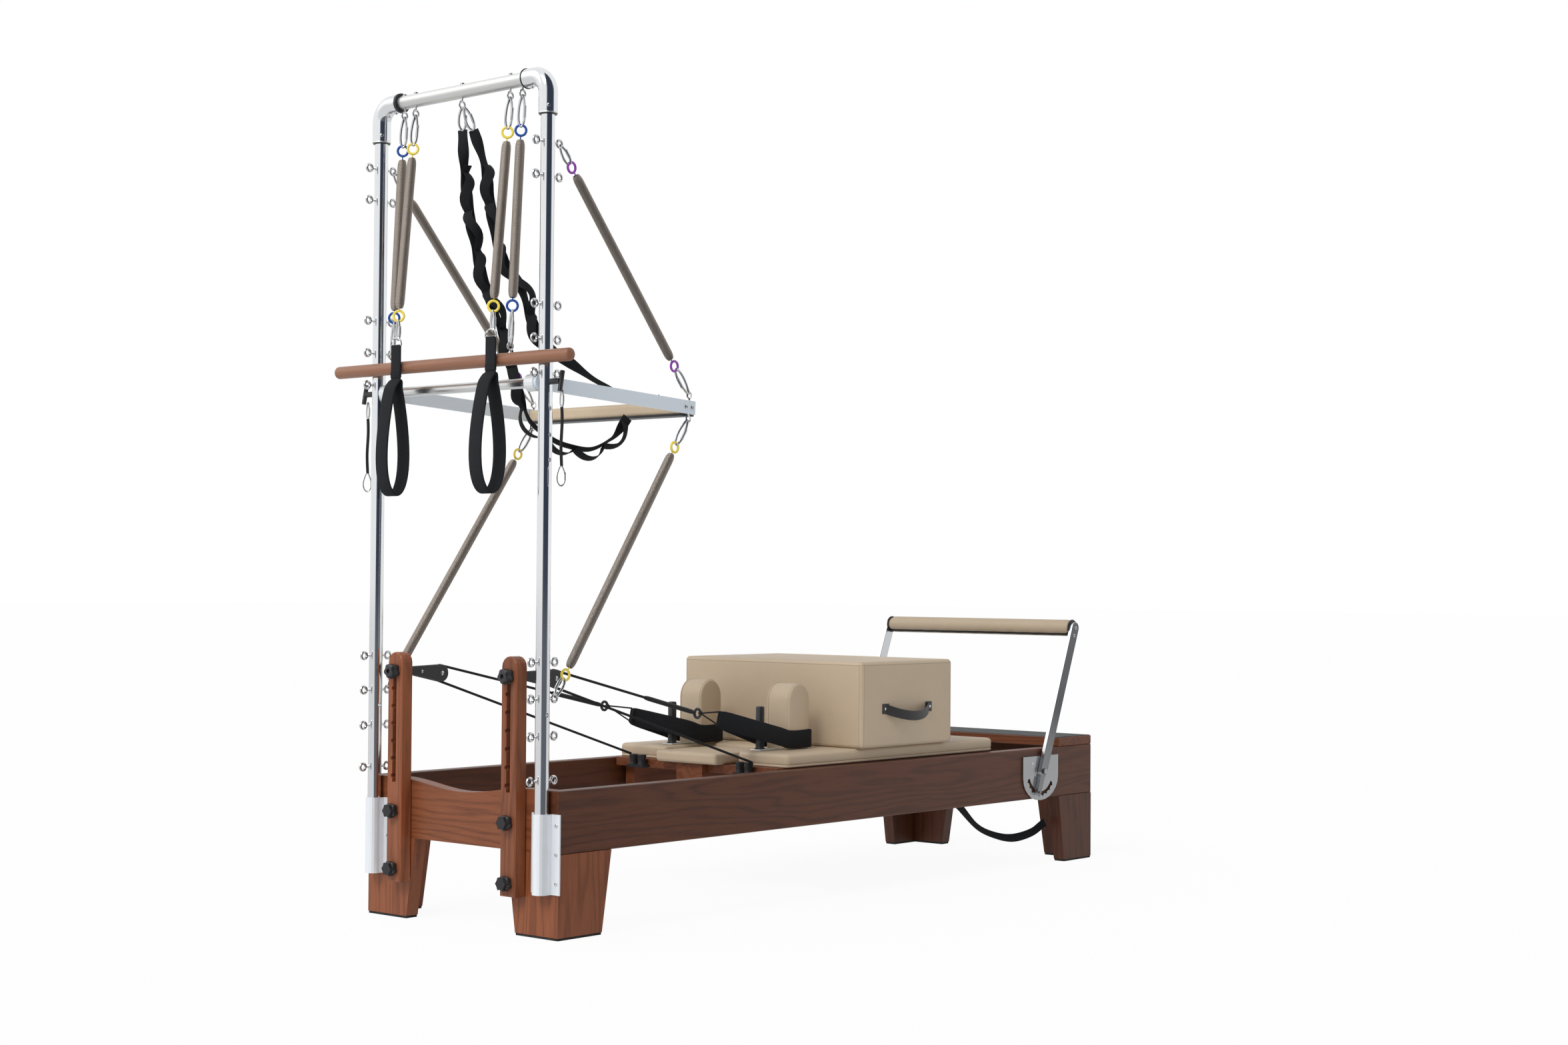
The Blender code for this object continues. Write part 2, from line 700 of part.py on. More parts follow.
def make_crossbar():
    """The top bar with its elbow fittings and five eyebolts, nuts above."""
    end = TUBE_Y - ELBOW_BEND
    bar = rod((TUBE_X, -end - 0.01, CROSSBAR_Z), (TUBE_X, end + 0.01, CROSSBAR_Z), TUBE_R, sides=20)
    pieces = [bar]
    for side in (-1, 1):
        route = [(TUBE_X, side * TUBE_Y, ELBOW_MOUTH)]
        steps = 6
        for i in range(steps + 1):
            angle = math.pi / 2 * i / steps
            y = side * (TUBE_Y - ELBOW_BEND * (1 - math.cos(angle)))
            z = CROSSBAR_Z - ELBOW_BEND * (1 - math.sin(angle))
            route.append((TUBE_X, y, z))
        route.append((TUBE_X, side * (end - 0.006), CROSSBAR_Z))
        pieces.append(pipe(route, TUBE_R + ELBOW_WALL, resolution=5))
    for y in (-OUTER_SPRING_Y, -INNER_SPRING_Y, 0.0, INNER_SPRING_Y, OUTER_SPRING_Y):
        pieces += eyebolt((TUBE_X, y, CROSSBAR_Z), (0, 0, -1), CROSS_EYE_DROP, TUBE_R - 0.004)
    part("tower_crossbar", "polished_steel", pieces)


def star_knob(face, y, z, stud):
    """A six-lobed hand knob standing off a face towards the head end, with its stud behind."""
    count = 12
    lobes = 6
    outline = []
    for i in range(count):
        angle = 2 * math.pi * i / count
        r = KNOB / 2 * (0.90 + 0.10 * math.cos(lobes * angle))
        outline.append((y + r * math.cos(angle), z + r * math.sin(angle)))
    neck = 0.010
    head = plank(outline, 0, face - neck - KNOB_THICK, face - neck)
    hub = rod((face - neck - 0.002, y, z), (face - CLEAR, y, z), 0.009, sides=12)
    pieces = [head, hub]
    if stud:
        pieces.append(rod((face - neck, y, z), (face + stud, y, z), 0.004, sides=8))
    return pieces


def make_posts():
    for name, side in SIDES.items():
        y = side * POST_Y
        half = POST_WIDTH / 2
        radius = half * 0.95
        outline = [(y - half, POST_BOTTOM), (y + half, POST_BOTTOM)]
        steps = 8
        for i in range(steps + 1):
            angle = math.pi * i / steps
            outline.append((y + half * math.cos(angle), POST_TOP - radius + radius * math.sin(angle)))
        post = plank(outline, 0, -POST_DEPTH, -CLEAR, round_edges=0.003)
        front = -POST_DEPTH
        clamps = []
        for level in CLAMP_LEVELS:
            clamps += star_knob(front, y, level, 0)
            clamps.append(rod((front - 0.004, y, level), (front + 0.004, y, level), 0.010, sides=12))
        slot = [block((-POST_DEPTH - 0.01, y - SLOT_WIDTH / 2, SLOT_BOTTOM),
                      (0.01, y + SLOT_WIDTH / 2, SLOT_TOP))]
        for i in range(NOTCH_COUNT):
            z = NOTCH_FIRST + NOTCH_PITCH * i
            slot.append(rod((-POST_DEPTH - 0.01, y + SLOT_WIDTH / 2, z),
                            (0.01, y + SLOT_WIDTH / 2, z), 0.006, sides=8))
        part(f"riser_post_{name}", "red_oak", [post, *clamps], slot)
        make_pulley(name, side)


def make_pulley(name, side):
    """A cheek block bolted through the post's slot, its sheave, and the knob that clamps it."""
    y = side * POST_Y
    level = NOTCH_FIRST + NOTCH_PITCH * (NOTCH_COUNT - 1)
    knob = star_knob(-POST_DEPTH, y, level, POST_DEPTH - CLEAR)
    part(f"height_knob_{name}", "black_plastic", knob, pivot=(-POST_DEPTH, y, level))

    gap = SHEAVE_WIDTH / 2 + RUN
    cheek = 0.0022
    centre = Vector((PULLEY_X, y, PULLEY_Z))
    base = block((CLEAR, y - gap - cheek, level - 0.013), (0.022, y + gap + cheek, level + 0.013), 0.0015)
    pieces = [base]
    for way in (-1, 1):
        inner = y + way * gap
        outline = []
        for spot, start in ((centre, -90), (Vector((0.016, y, level)), 90)):
            radius = 0.015 if spot is centre else 0.010
            for i in range(7):
                angle = math.radians(start + 30 * i)
                outline.append((spot.x + radius * math.cos(angle), spot.z + radius * math.sin(angle)))
        low = min(inner, inner + way * cheek)
        pieces.append(plank(outline, 1, low, low + cheek))
    pieces.append(rod((centre.x, y - gap - cheek - 0.001, centre.z),
                      (centre.x, y + gap + cheek + 0.001, centre.z), 0.004, sides=10))
    part(f"pulley_block_{name}", "black_plastic", pieces)

    rim = SHEAVE / 2
    half = SHEAVE_WIDTH / 2
    bore = 0.004 + RUN
    floor = rim - 0.004
    profile = [(bore, -half), (rim, -half), (rim, -half + 0.0012), (floor, -0.0022), (floor, 0.0022),
               (rim, half - 0.0012), (rim, half), (bore, half), (bore, -half)]
    wheel = turned(profile, centre, (0, 1, 0), sides=16)
    part(f"pulley_sheave_{name}", "black_plastic", [wheel], pivot=centre)


def make_rope(name, side):
    """The pull rope: cleat, round the sheave, and back to the ring that holds the hand strap."""
    y = side * POST_Y
    wrap = SHEAVE / 2 - 0.004 + ROPE / 2 + 2 * CLEAR
    hub = Vector((PULLEY_X, 0, PULLEY_Z))
    ring = Vector((RING_X[side], 0, RING_Z))
    cleat = Vector((CLEAT_X - CLEAT_DRUM / 2 - ROPE / 2 - CLEAR, 0, DECK + 0.002))

    def tangent(target, upper):
        """Angle on the sheave where a straight run to target leaves it."""
        away = target - hub
        bearing = math.atan2(away.z, away.x)
        opening = math.acos(wrap / away.length)
        return bearing + opening if upper else bearing - opening

    top = tangent(ring, True)
    low = tangent(cleat, False)
    steps = 10
    points = [(ring.x - RING_LINK, y, ring.z)]
    sweep = 2 * math.pi - top + low
    for i in range(steps + 1):
        angle = top + sweep * i / steps
        points.append((hub.x + wrap * math.cos(angle), y, hub.z + wrap * math.sin(angle)))
    points.append((cleat.x, y, cleat.z + 0.012))
    rope = pipe(points, ROPE / 2, resolution=1)
    start = Vector(points[0])
    way = (Vector(points[1]) - start).normalized()
    sleeve = rod(start, start + way * 0.20, ROPE_SLEEVE / 2, sides=8)
    eye = hoop((ring.x, y, ring.z), (0, 1, 0), RING_LINK, 0.004, around=10, section=4)
    part(f"pull_rope_{name}", "rope", [rope, sleeve, eye])


def make_hand_strap(name, side):
    """The padded loop, parked round the peg and the shoulder rest, drawn to the rope's ring."""
    gap = LOOP_THICK / 2 + 2 * CLEAR
    start = RING_X[side] + 2 * RING_LINK + 0.006
    front = side * (REST_Y[1] + gap)
    back = side * (REST_Y[0] - gap)
    end = REST_X[1] + gap
    rise = RING_Z - PAD_TOP - LOOP_WIDTH / 2

    def height(x):
        share = max(0.0, min(1.0, (REST_X[0] - x) / (REST_X[0] - start)))
        return PAD_TOP + LOOP_WIDTH / 2 + 0.004 + (rise - 0.004) * share

    ring_y = side * POST_Y
    plan = [(start, ring_y + side * 0.004), (start + 0.10, ring_y + side * 0.010),
            (REST_X[0] - 0.06, front + side * 0.003), (REST_X[0], front), (end, front), (end, back),
            (REST_X[0], back), (REST_X[0] - 0.06, back + side * 0.010),
            (start + 0.10, ring_y - side * 0.014), (start, ring_y - side * 0.004)]
    loop = band_loop([(x, y, height(x)) for x, y in plan], (0, 0, 1), LOOP_WIDTH, LOOP_THICK)
    part(f"hand_strap_{name}", "webbing", [loop])


def make_carriage():
    """Board, side beams, rope cleats, pads, shoulder rests and wheels."""
    edge = INNER - BOARD_SIDE_GAP
    low = DECK - CARRIAGE_BOARD
    pieces = [block((CARRIAGE_HEAD, -edge, low), (CARRIAGE_FOOT, edge, DECK), 0.001)]
    for side in (-1, 1):
        beam = sorted((side * (BEAM_OUT - BEAM_WIDTH), side * BEAM_OUT))
        pieces.append(block((CARRIAGE_HEAD + 0.03, beam[0], WHEEL_Z - 0.018),
                            (CARRIAGE_FOOT - 0.03, beam[1], low + 0.004)))
        for x in WHEEL_X:
            pieces.append(rod((x, side * (BEAM_OUT - 0.01), WHEEL_Z),
                              (x, side * (WHEEL_Y + WHEEL_WIDTH / 2 + 0.003), WHEEL_Z), 0.004, sides=10))
        pieces += cleat_pieces(side * CLEAT_Y, low)
    beam_in = BEAM_OUT - 0.030
    pieces.append(block((HOOK_BEAM_X - 0.035, -beam_in, BED_SPRING_Z - 0.014),
                        (HOOK_BEAM_X, beam_in, low + 0.004)))
    prop = block((CARRIAGE_HEAD - 0.020, -0.05, low - 0.047), (CARRIAGE_HEAD + 0.004, 0.05, DECK))
    pieces.append(prop)
    part("carriage_base", "red_oak", pieces)

    notch_half = HEADREST_HALF + NOTCH_SIDE_GAP
    notch = block((PAD_HEAD - 0.1, -notch_half, PAD_BOTTOM - 0.1),
                  (HEADREST_FOOT + NOTCH_END_GAP, notch_half, PAD_TOP + 0.1))
    pad = cushion((PAD_HEAD, -PAD_HALF, PAD_BOTTOM), (PAD_FOOT_END, PAD_HALF, PAD_TOP), 0.0, 0.010,
                  cells=(2, 2), cutters=[notch])
    name_part("carriage_pad", "leatherette", pad)
    rest = cushion((HEADREST_HEAD, -HEADREST_HALF, PAD_BOTTOM),
                   (HEADREST_FOOT, HEADREST_HALF, PAD_BOTTOM + HEADREST_THICK), 0.0, 0.010, cells=(1, 1))
    name_part("headrest_pad", "leatherette", rest, pivot=(HEADREST_FOOT, 0, PAD_BOTTOM))

    for name, side in SIDES.items():
        make_shoulder_rest(name, side)
        for end, x in zip(("head", "foot"), WHEEL_X):
            make_wheel(f"wheel_{end}_{name}", x, side)
        make_hand_strap(name, side)


def cleat_pieces(y, low):
    """A rope cleat: two grooved drums on a base at the carriage's head edge."""
    drum = CLEAT_DRUM / 2
    step = 0.0165
    base = block((CLEAT_X - drum, y - 2 * drum - 0.006, low + 0.001),
                 (CARRIAGE_HEAD + 0.004, y + 2 * drum + 0.006, low + 0.009))
    pieces = [base]
    for way in (-1, 1):
        at = (CLEAT_X, y + way * step, low + 0.008)
        profile = [(0, 0), (drum, 0), (drum * 0.86, 0.008), (drum * 0.86, 0.018), (drum, 0.024),
                   (drum, 0.030), (0, 0.030)]
        pieces.append(turned(profile, at, (0, 0, 1), sides=10))
    return pieces


def make_shoulder_rest(name, side):
    """An arch-shaped pad on a steel base plate that also carries the strap peg."""
    base = PAD_TOP + CLEAR
    radius = (REST_X[1] - REST_X[0]) / 2
    centre = (REST_X[0] + REST_X[1]) / 2
    rise = radius * 1.15
    outline = [(REST_X[0], base), (REST_X[1], base)]
    steps = 10
    for i in range(steps + 1):
        angle = math.pi * i / steps
        outline.append((centre + radius * math.cos(angle), REST_TOP - rise + rise * math.sin(angle)))
    low, high = sorted((side * REST_Y[0], side * REST_Y[1]))
    pad = plank(outline, 1, low, high, round_edges=0.004)
    middle = (low + high) / 2
    plate = block((PEG_X - 0.020, middle - 0.020, base), (REST_X[1] - 0.004, middle + 0.020, base + 0.004))
    peg = rod((PEG_X, middle, base), (PEG_X, middle, PEG_TOP), PEG / 2, sides=12)
    part(f"shoulder_rest_{name}", "leatherette", [pad, plate, peg])


def make_wheel(name, x, side):
    """A grooved running wheel on the carriage's stub axle."""
    radius = WHEEL / 2
    half = WHEEL_WIDTH / 2
    bore = 0.004 + RUN
    profile = [(bore, -half), (radius - 0.002, -half), (radius, -half + 0.002), (radius, half - 0.002),
               (radius - 0.002, half), (bore, half), (bore, -half)]
    made = turned(profile, (x, side * WHEEL_Y, WHEEL_Z), (0, 1, 0), sides=16)
    part(name, "black_plastic", [made], pivot=(x, side * WHEEL_Y, WHEEL_Z))


def coil_profile(length):
    """A close-wound spring as a turned barrel with tapered ends."""
    body = SPRING / 2
    neck = SPRING_NECK / 2
    taper = 0.022
    return [(0, 0), (neck, 0), (body * 0.82, taper * 0.45), (body, taper), (body, length - taper),
            (body * 0.82, length - taper * 0.45), (neck, length), (0, length)]


def make_bed_springs():
    """The spring bar across the foot end with its five carriage springs."""
    radius = BED_SPRING / 2
    bar = block((SPRING_BAR_X, -INNER + CLEAR, BED_SPRING_Z - 0.015),
                (SPRING_BAR_X + 0.030, INNER - CLEAR, BED_SPRING_Z + 0.015), 0.002)
    pieces = [bar]
    start = HOOK_BEAM_X + 0.001
    length = SPRING_BAR_X - start + 0.004
    neck = 0.004
    outer = BEAM_OUT - BEAM_WIDTH - BEAM_TO_SPRING - radius
    for i in range(BED_SPRING_COUNT):
        y = outer * (2 * i / (BED_SPRING_COUNT - 1) - 1)
        profile = [(0, 0), (neck, 0), (neck, 0.030), (radius, 0.050), (radius, length - 0.040),
                   (neck, length - 0.020), (neck, length), (0, length)]
        pieces.append(turned(profile, (start, y, BED_SPRING_Z), (1, 0, 0), sides=8))
    part("carriage_springs", "spring_steel", pieces)


def make_sitting_box():
    """The upholstered box across the carriage, with a strap handle riveted to each end."""
    low = PAD_TOP + CLEAR
    box = block((BOX_X[0], -BOX_HALF, low), (BOX_X[1], BOX_HALF, low + BOX_HEIGHT), 0.012, steps=2)
    pieces = [box]
    for side in (-1, 1):
        z = low + HANDLE_RISE
        face = side * BOX_HALF
        span = HANDLE_X[1] - HANDLE_X[0]
        points = []
        steps = 12
        for i in range(steps + 1):
            share = i / steps
            bulge = math.sin(math.pi * share) ** 0.8
            points.append((HANDLE_X[0] - 0.010 + (span + 0.020) * share,
                           face + side * (HANDLE_STAND * bulge + 0.0005), z - 0.022 * bulge))
        handle = strap(points, [(0, 0, 1)] * len(points), HANDLE_WIDTH, STRAP_THICK)
        pieces.append(handle)
    part("sitting_box", "leatherette", pieces)


def arc_slot(centre, radius, start, stop, width, y_low, y_high, steps):
    """A curved slot cutter between two angles, in the xz plane."""
    outline = []
    for i in range(steps + 1):
        angle = math.radians(start + (stop - start) * i / steps)
        outline.append((centre[0] + (radius + width / 2) * math.cos(angle),
                        centre[1] + (radius + width / 2) * math.sin(angle)))
    for i in range(steps + 1):
        angle = math.radians(stop + (start - stop) * i / steps)
        outline.append((centre[0] + (radius - width / 2) * math.cos(angle),
                        centre[1] + (radius - width / 2) * math.sin(angle)))
    return plank(outline, 1, y_low, y_high)


def make_footbar():
    """Toothed side plates, the bent frame that turns on them, and its padded bar."""
    pivot = Vector((FOOT_PIVOT_X, 0, FOOT_PIVOT_Z))
    rest_tail = math.degrees(math.atan2(-math.cos(FOOT_LEAN), -math.sin(FOOT_LEAN))) % 360
    track = LOCK_PIN + 0.003
    teeth = range(-TILT_BACK, TILT_FORWARD + 1, TOOTH_STEP)
    for name, side in SIDES.items():
        low, high = sorted((side * (HALF + CLEAR), side * (HALF + CLEAR + PLATE_THICK)))
        outline = [(FOOT_PIVOT_X - PLATE_HALF, PLATE_TOP), (FOOT_PIVOT_X - PLATE_HALF, PLATE_KNEE)]
        steps = 12
        for i in range(1, steps):
            angle = math.pi * (1 + i / steps)
            outline.append((FOOT_PIVOT_X + PLATE_HALF * math.cos(angle),
                            PLATE_KNEE + (PLATE_KNEE - PLATE_TIP) * math.sin(angle)))
        outline += [(FOOT_PIVOT_X + PLATE_HALF, PLATE_KNEE), (FOOT_PIVOT_X + PLATE_HALF, PLATE_TOP)]
        plate = plank(outline, 1, low, high)
        outer = side * (FOOT_ARM_Y + FOOT_ARM_THICK / 2 + 2 * CLEAR)
        shank = rod((pivot.x, side * (HALF + CLEAR + 0.001), pivot.z), (pivot.x, outer + side * 0.004, pivot.z),
                    PIVOT_BOLT / 2, sides=12)
        head = rod((pivot.x, outer, pivot.z), (pivot.x, outer + side * 0.006, pivot.z), 0.009, sides=6)
        centre = (pivot.x, pivot.z)
        slots = [arc_slot(centre, FOOT_TAIL, rest_tail - TILT_FORWARD - 5, rest_tail + TILT_BACK + 5,
                          track, low - 0.01, high + 0.01, 14)]
        for tooth in teeth:
            angle = math.radians(rest_tail - tooth)
            reach = FOOT_TAIL + LATCH_DROP + CLEAR
            spot = (pivot.x + reach * math.cos(angle), pivot.z + reach * math.sin(angle))
            slots.append(rod((spot[0], low - 0.01, spot[1]), (spot[0], high + 0.01, spot[1]), 0.0042, sides=6))
        part(f"footbar_plate_{name}", "polished_steel", [plate, shank, head], slots)

    lean = Vector((math.sin(FOOT_LEAN), 0, math.cos(FOOT_LEAN)))
    flat = Vector((math.cos(FOOT_LEAN), 0, -math.sin(FOOT_LEAN)))
    bar = pivot + lean * FOOT_ARM
    tube = rod((bar.x, -FOOT_ARM_Y, bar.z), (bar.x, FOOT_ARM_Y, bar.z), FOOT_TUBE / 2, sides=14)
    pieces = [tube]
    bores = []
    for side in (-1, 1):
        y = side * FOOT_ARM_Y
        half = FOOT_ARM_WIDE / 2
        outline = []
        for spot, turn, radius in ((bar, 0, half), (pivot - lean * FOOT_TAIL, 180, half * 0.62)):
            for i in range(7):
                angle = math.radians(turn + 30 * i)
                p = spot + flat * (radius * math.cos(angle)) + lean * (radius * math.sin(angle))
                outline.append((p.x, p.z))
        pieces.append(plank(outline, 1, y - FOOT_ARM_THICK / 2, y + FOOT_ARM_THICK / 2))
        bore = PIVOT_BOLT / 2 + RUN
        outline = []
        for spot, turn in ((pivot + lean * LATCH_DROP, 0), (pivot, 180)):
            for i in range(9):
                angle = math.radians(turn + 22.5 * i)
                p = spot + flat * (bore * math.cos(angle)) + lean * (bore * math.sin(angle))
                outline.append((p.x, p.z))
        bores.append(plank(outline, 1, y - 0.02, y + 0.02))
        tail = pivot - lean * FOOT_TAIL
        pieces.append(rod((tail.x, side * (HALF + 3 * CLEAR), tail.z),
                          (tail.x, y + side * (FOOT_ARM_THICK / 2 + 0.003), tail.z), LOCK_PIN / 2, sides=8))
    part("footbar_frame", "polished_steel", pieces, bores, pivot=pivot)

    radius = FOOT_PAD / 2
    bore = FOOT_TUBE / 2 + CLEAR
    reach = FOOT_ARM_Y - FOOT_ARM_THICK / 2 - 0.004
    profile = [(bore, 0), (radius - 0.006, 0), (radius, 0.006), (radius, 2 * reach - 0.006),
               (radius - 0.006, 2 * reach), (bore, 2 * reach), (bore, 0)]
    pad = turned(profile, (bar.x, -reach, bar.z), (0, 1, 0), sides=18)
    part("footbar_pad", "leatherette", [pad])


def arm_point(along, above=0.0):
    """A point on the push bar's arm: along it from the axle, and above its middle line."""
    slope = math.atan2(ARM_DROP, ARM_REACH)
    return Vector((TUBE_X + along * math.cos(slope) + above * math.sin(slope), 0,
                   AXLE_Z - along * math.sin(slope) + above * math.cos(slope)))


def arm_eye(way):
    """Centre of the spring eye above (1) or below (-1) the arm's end."""
    return arm_point(SPRING_EYE_X, way * (ARM_HEIGHT / 2 + 0.014))


def make_push_bar():
    """Axle between the tower tubes, two flat arms and the padded end bar."""
    half = ARM_HEIGHT / 2
    ends = TUBE_Y - TUBE_R - CLEAR
    axle = rod((TUBE_X, -ends + ARM_THICK, AXLE_Z), (TUBE_X, ends - ARM_THICK, AXLE_Z), AXLE / 2, sides=14)
    pieces = [axle]
    for side in (-1, 1):
        hub_end = side * (ends - ARM_THICK + 0.001)
        pieces.append(rod((TUBE_X, hub_end, AXLE_Z), (TUBE_X, hub_end - side * HUB_LENGTH, AXLE_Z), HUB / 2,
                          sides=16))
        outline = []
        for i in range(9):
            angle = math.radians(90 + 22.5 * i)
            outline.append((TUBE_X + half * math.cos(angle), AXLE_Z + half * math.sin(angle)))
        for along, above in ((ARM_REACH, -half), (ARM_REACH, half)):
            p = arm_point(along, above)
            outline.append((p.x, p.z))
        y = side * ARM_Y
        pieces.append(plank(outline, 1, y - ARM_THICK / 2, y + ARM_THICK / 2, round_edges=0.001))
        for way in (-1, 1):
            eye = arm_eye(way)
            foot = arm_point(SPRING_EYE_X, way * (half - 0.003))
            out = (eye - foot).normalized()
            near = eye - out * (EYE_RING - 0.0005)
            stand = y + side * EYE_OUT
            pieces.append(hoop((eye.x, stand, eye.z), (0, 1, 0), EYE_RING, EYE_WIRE, around=8, section=3))
            pieces.append(rod((foot.x, stand, foot.z), (near.x, stand, near.z), 0.0028, sides=4, twist=0.3))
    bores = []
    for side in (-1, 1):
        bores.append(rod((TUBE_X, side * (ends - 0.03), AXLE_Z), (TUBE_X, side * (ends + 0.01), AXLE_Z),
                         PIN / 2 + RUN, sides=12))
    part("push_bar_frame", "anodised", pieces, bores, pivot=(TUBE_X, 0, AXLE_Z))

    reach = ARM_Y - ARM_THICK / 2 - CLEAR
    low = arm_point(GRIP_X[0], -GRIP_HEIGHT / 2)
    high = arm_point(GRIP_X[1], GRIP_HEIGHT / 2)
    pad = block((low.x, -reach, low.z - 0.003), (high.x, reach, low.z - 0.003 + GRIP_HEIGHT), 0.007, steps=2)
    board = block((low.x + 0.003, -reach, low.z - 0.008), (high.x - 0.003, reach, low.z + 0.002), 0.001)
    part("push_bar_grip", "leatherette", [pad, board])


def make_pull_pin(name, side):
    """A spring pin with a T handle that locks the push bar's axle into the tube."""
    outer = TUBE_Y + TUBE_R
    tip = TUBE_Y - TUBE_R - 0.018
    pin = rod((TUBE_X, side * tip, AXLE_Z), (TUBE_X, side * (outer + 0.012), AXLE_Z), PIN / 2, sides=10)
    collar = rod((TUBE_X, side * (outer + CLEAR), AXLE_Z), (TUBE_X, side * (outer + 0.034), AXLE_Z), 0.0075,
                 sides=10)
    middle = side * (outer + 0.038)
    tilt = Vector((0.18, 0, 1)).normalized() * 0.026
    handle = rod((TUBE_X - tilt.x, middle, AXLE_Z - tilt.z), (TUBE_X + tilt.x, middle, AXLE_Z + tilt.z), 0.006,
                 sides=10)
    part(f"pull_pin_{name}", "black_plastic", [pin, collar, handle],
         pivot=(TUBE_X, side * outer, AXLE_Z))


def link(start, way, first, length, wire=WIRE):
    """A clip: a long loop across Y whose near bow's middle line is at distance first along way."""
    way = Vector(way)
    half = EYE_WIRE + 2 * CLEAR + wire
    return hoop(Vector(start) + way * (first + length / 2), way.cross(Vector((0, 1, 0))), half, wire,
                around=8, section=3, stretch=way * (length - 2 * half))


def fork(start, way, first, length):
    """A hook whose two prongs pass either side of an eye and meet in a bow at the far end."""
    way = Vector(way)
    across = Vector((0, 1, 0))
    half = EYE_WIRE + 3 * CLEAR + WIRE
    bow = Vector(start) + way * (first + length - half)
    points = [Vector(start) + way * first - across * half]
    steps = 4
    for i in range(steps + 1):
        angle = math.pi * (i / steps - 0.5)
        points.append(bow + way * (half * math.cos(angle)) + across * (half * math.sin(angle)))
    points.append(Vector(start) + way * first + across * half)
    return pipe(points, WIRE, resolution=1)


def coloured_ring(centre, way):
    """The round end ring of a spring, lying in the plane of way and the vertical."""
    flat = Vector(way).cross(Vector((0, 1, 0)))
    return hoop(centre, flat.cross(Vector(way)), RING_RADIUS, RING_WIRE, around=8, section=4)


def make_push_springs():
    """Four long springs: a clip, a coloured ring and a coil, then the ring and clip at the arm's end."""
    for level_name, level, way in (("upper", UPPER_EYE, 1), ("lower", LOWER_EYE, -1)):
        tip = arm_eye(way)
        for name, side in SIDES.items():
            anchor = Vector((TUBE_X + EYE_REACH, side * TUBE_Y, level))
            target = Vector((tip.x, side * (ARM_Y + EYE_OUT), tip.z))
            span = target - anchor
            direction = span.normalized()
            coil_from = anchor + direction * TOP_LINK
            coil_length = span.length - TOP_LINK - END_LINK
            pieces = [turned(coil_profile(coil_length), coil_from, direction, sides=8)]
            pieces.append(coloured_ring(coil_from - direction * (RING_RADIUS + 0.001), direction))
            pieces.append(link(anchor, direction, HOOK_IN, TOP_LINK - 2 * RING_RADIUS - HOOK_IN + 0.001))
            part(f"push_spring_{level_name}_{name}", "spring_steel", pieces, pivot=anchor)

            back = -direction
            middle = coil_from + direction * (coil_length + RING_FLAT + RING_WIRE + 2 * CLEAR)
            gap = (target - middle).length - RING_RADIUS
            hook = [coloured_ring(middle, direction), fork(target, back, -0.005, gap + 0.007)]
            part(f"push_clip_{level_name}_{name}", "polished_steel", hook, pivot=target)


def hang_direction(end_x, end_z):
    """The lean of something hung from the crossbar's eyes towards a point."""
    return (Vector((end_x, 0, end_z)) - Vector((TUBE_X, 0, CROSS_EYE_Z))).normalized()


def hanging_coil(y, way, coil_top, coil_bottom):
    """Clip, coloured ring and coil hanging from a crossbar eye, and the ring below it."""
    start = Vector((TUBE_X, y, CROSS_EYE_Z))
    first = (start.z - coil_top) / -way.z
    last = (start.z - coil_bottom) / -way.z
    pieces = [turned(coil_profile(last - first), start + way * first, way, sides=8)]
    for along in (first - RING_RADIUS - 0.001, last + RING_RADIUS + 0.001):
        pieces.append(coloured_ring(start + way * along, way))
    pieces.append(link(start, way, HOOK_IN, first - 2 * RING_RADIUS - HOOK_IN + 0.001))
    return pieces, start + way * (last + 2 * RING_RADIUS + 0.001)


def make_hanging_set():
    """The roll-down bar on its two outer springs, and the two loops on the inner ones."""
    way = hang_direction(ROLL_X, ROLL_Z)
    bar = turned([(0, 0), (ROLL_BAR / 2 - 0.006, 0), (ROLL_BAR / 2, 0.008), (ROLL_BAR / 2, ROLL_LENGTH - 0.008),
                  (ROLL_BAR / 2 - 0.006, ROLL_LENGTH), (0, ROLL_LENGTH)],
                 (ROLL_X, -ROLL_LENGTH / 2, ROLL_Z), (0, 1, 0), sides=16)
    pieces = [bar]
    for side in (-1, 1):
        y = side * OUTER_SPRING_Y
        coil, end = hanging_coil(y, way, *HANG_COIL)
        pieces += coil
        middle = Vector((ROLL_X, y, ROLL_Z))
        eye = middle - way * (ROLL_BAR / 2 + 0.016)
        pieces.append(hoop(eye, (0, 1, 0), EYE_RING, EYE_WIRE, around=8, section=3))
        pieces.append(rod(middle - way * (ROLL_BAR / 2 - 0.003), eye + way * (EYE_RING - 0.0005), 0.0028,
                          sides=4, twist=0.3))
        gap = (eye - end).length
        pieces.append(link(end, way, -0.002, gap - 0.004))
    part("roll_down_bar", "bar_wood", pieces, pivot=(TUBE_X, 0, CROSS_EYE_Z))

    lean = hang_direction(LOOP_X, LOOP_TOP)
    for name, side in SIDES.items():
        y = side * INNER_SPRING_Y
        coil, end = hanging_coil(y, lean, *HANG_COIL)
        part(f"loop_spring_{name}", "spring_steel", coil, pivot=(TUBE_X, y, CROSS_EYE_Z))
        make_hanging_loop(name, y, end)


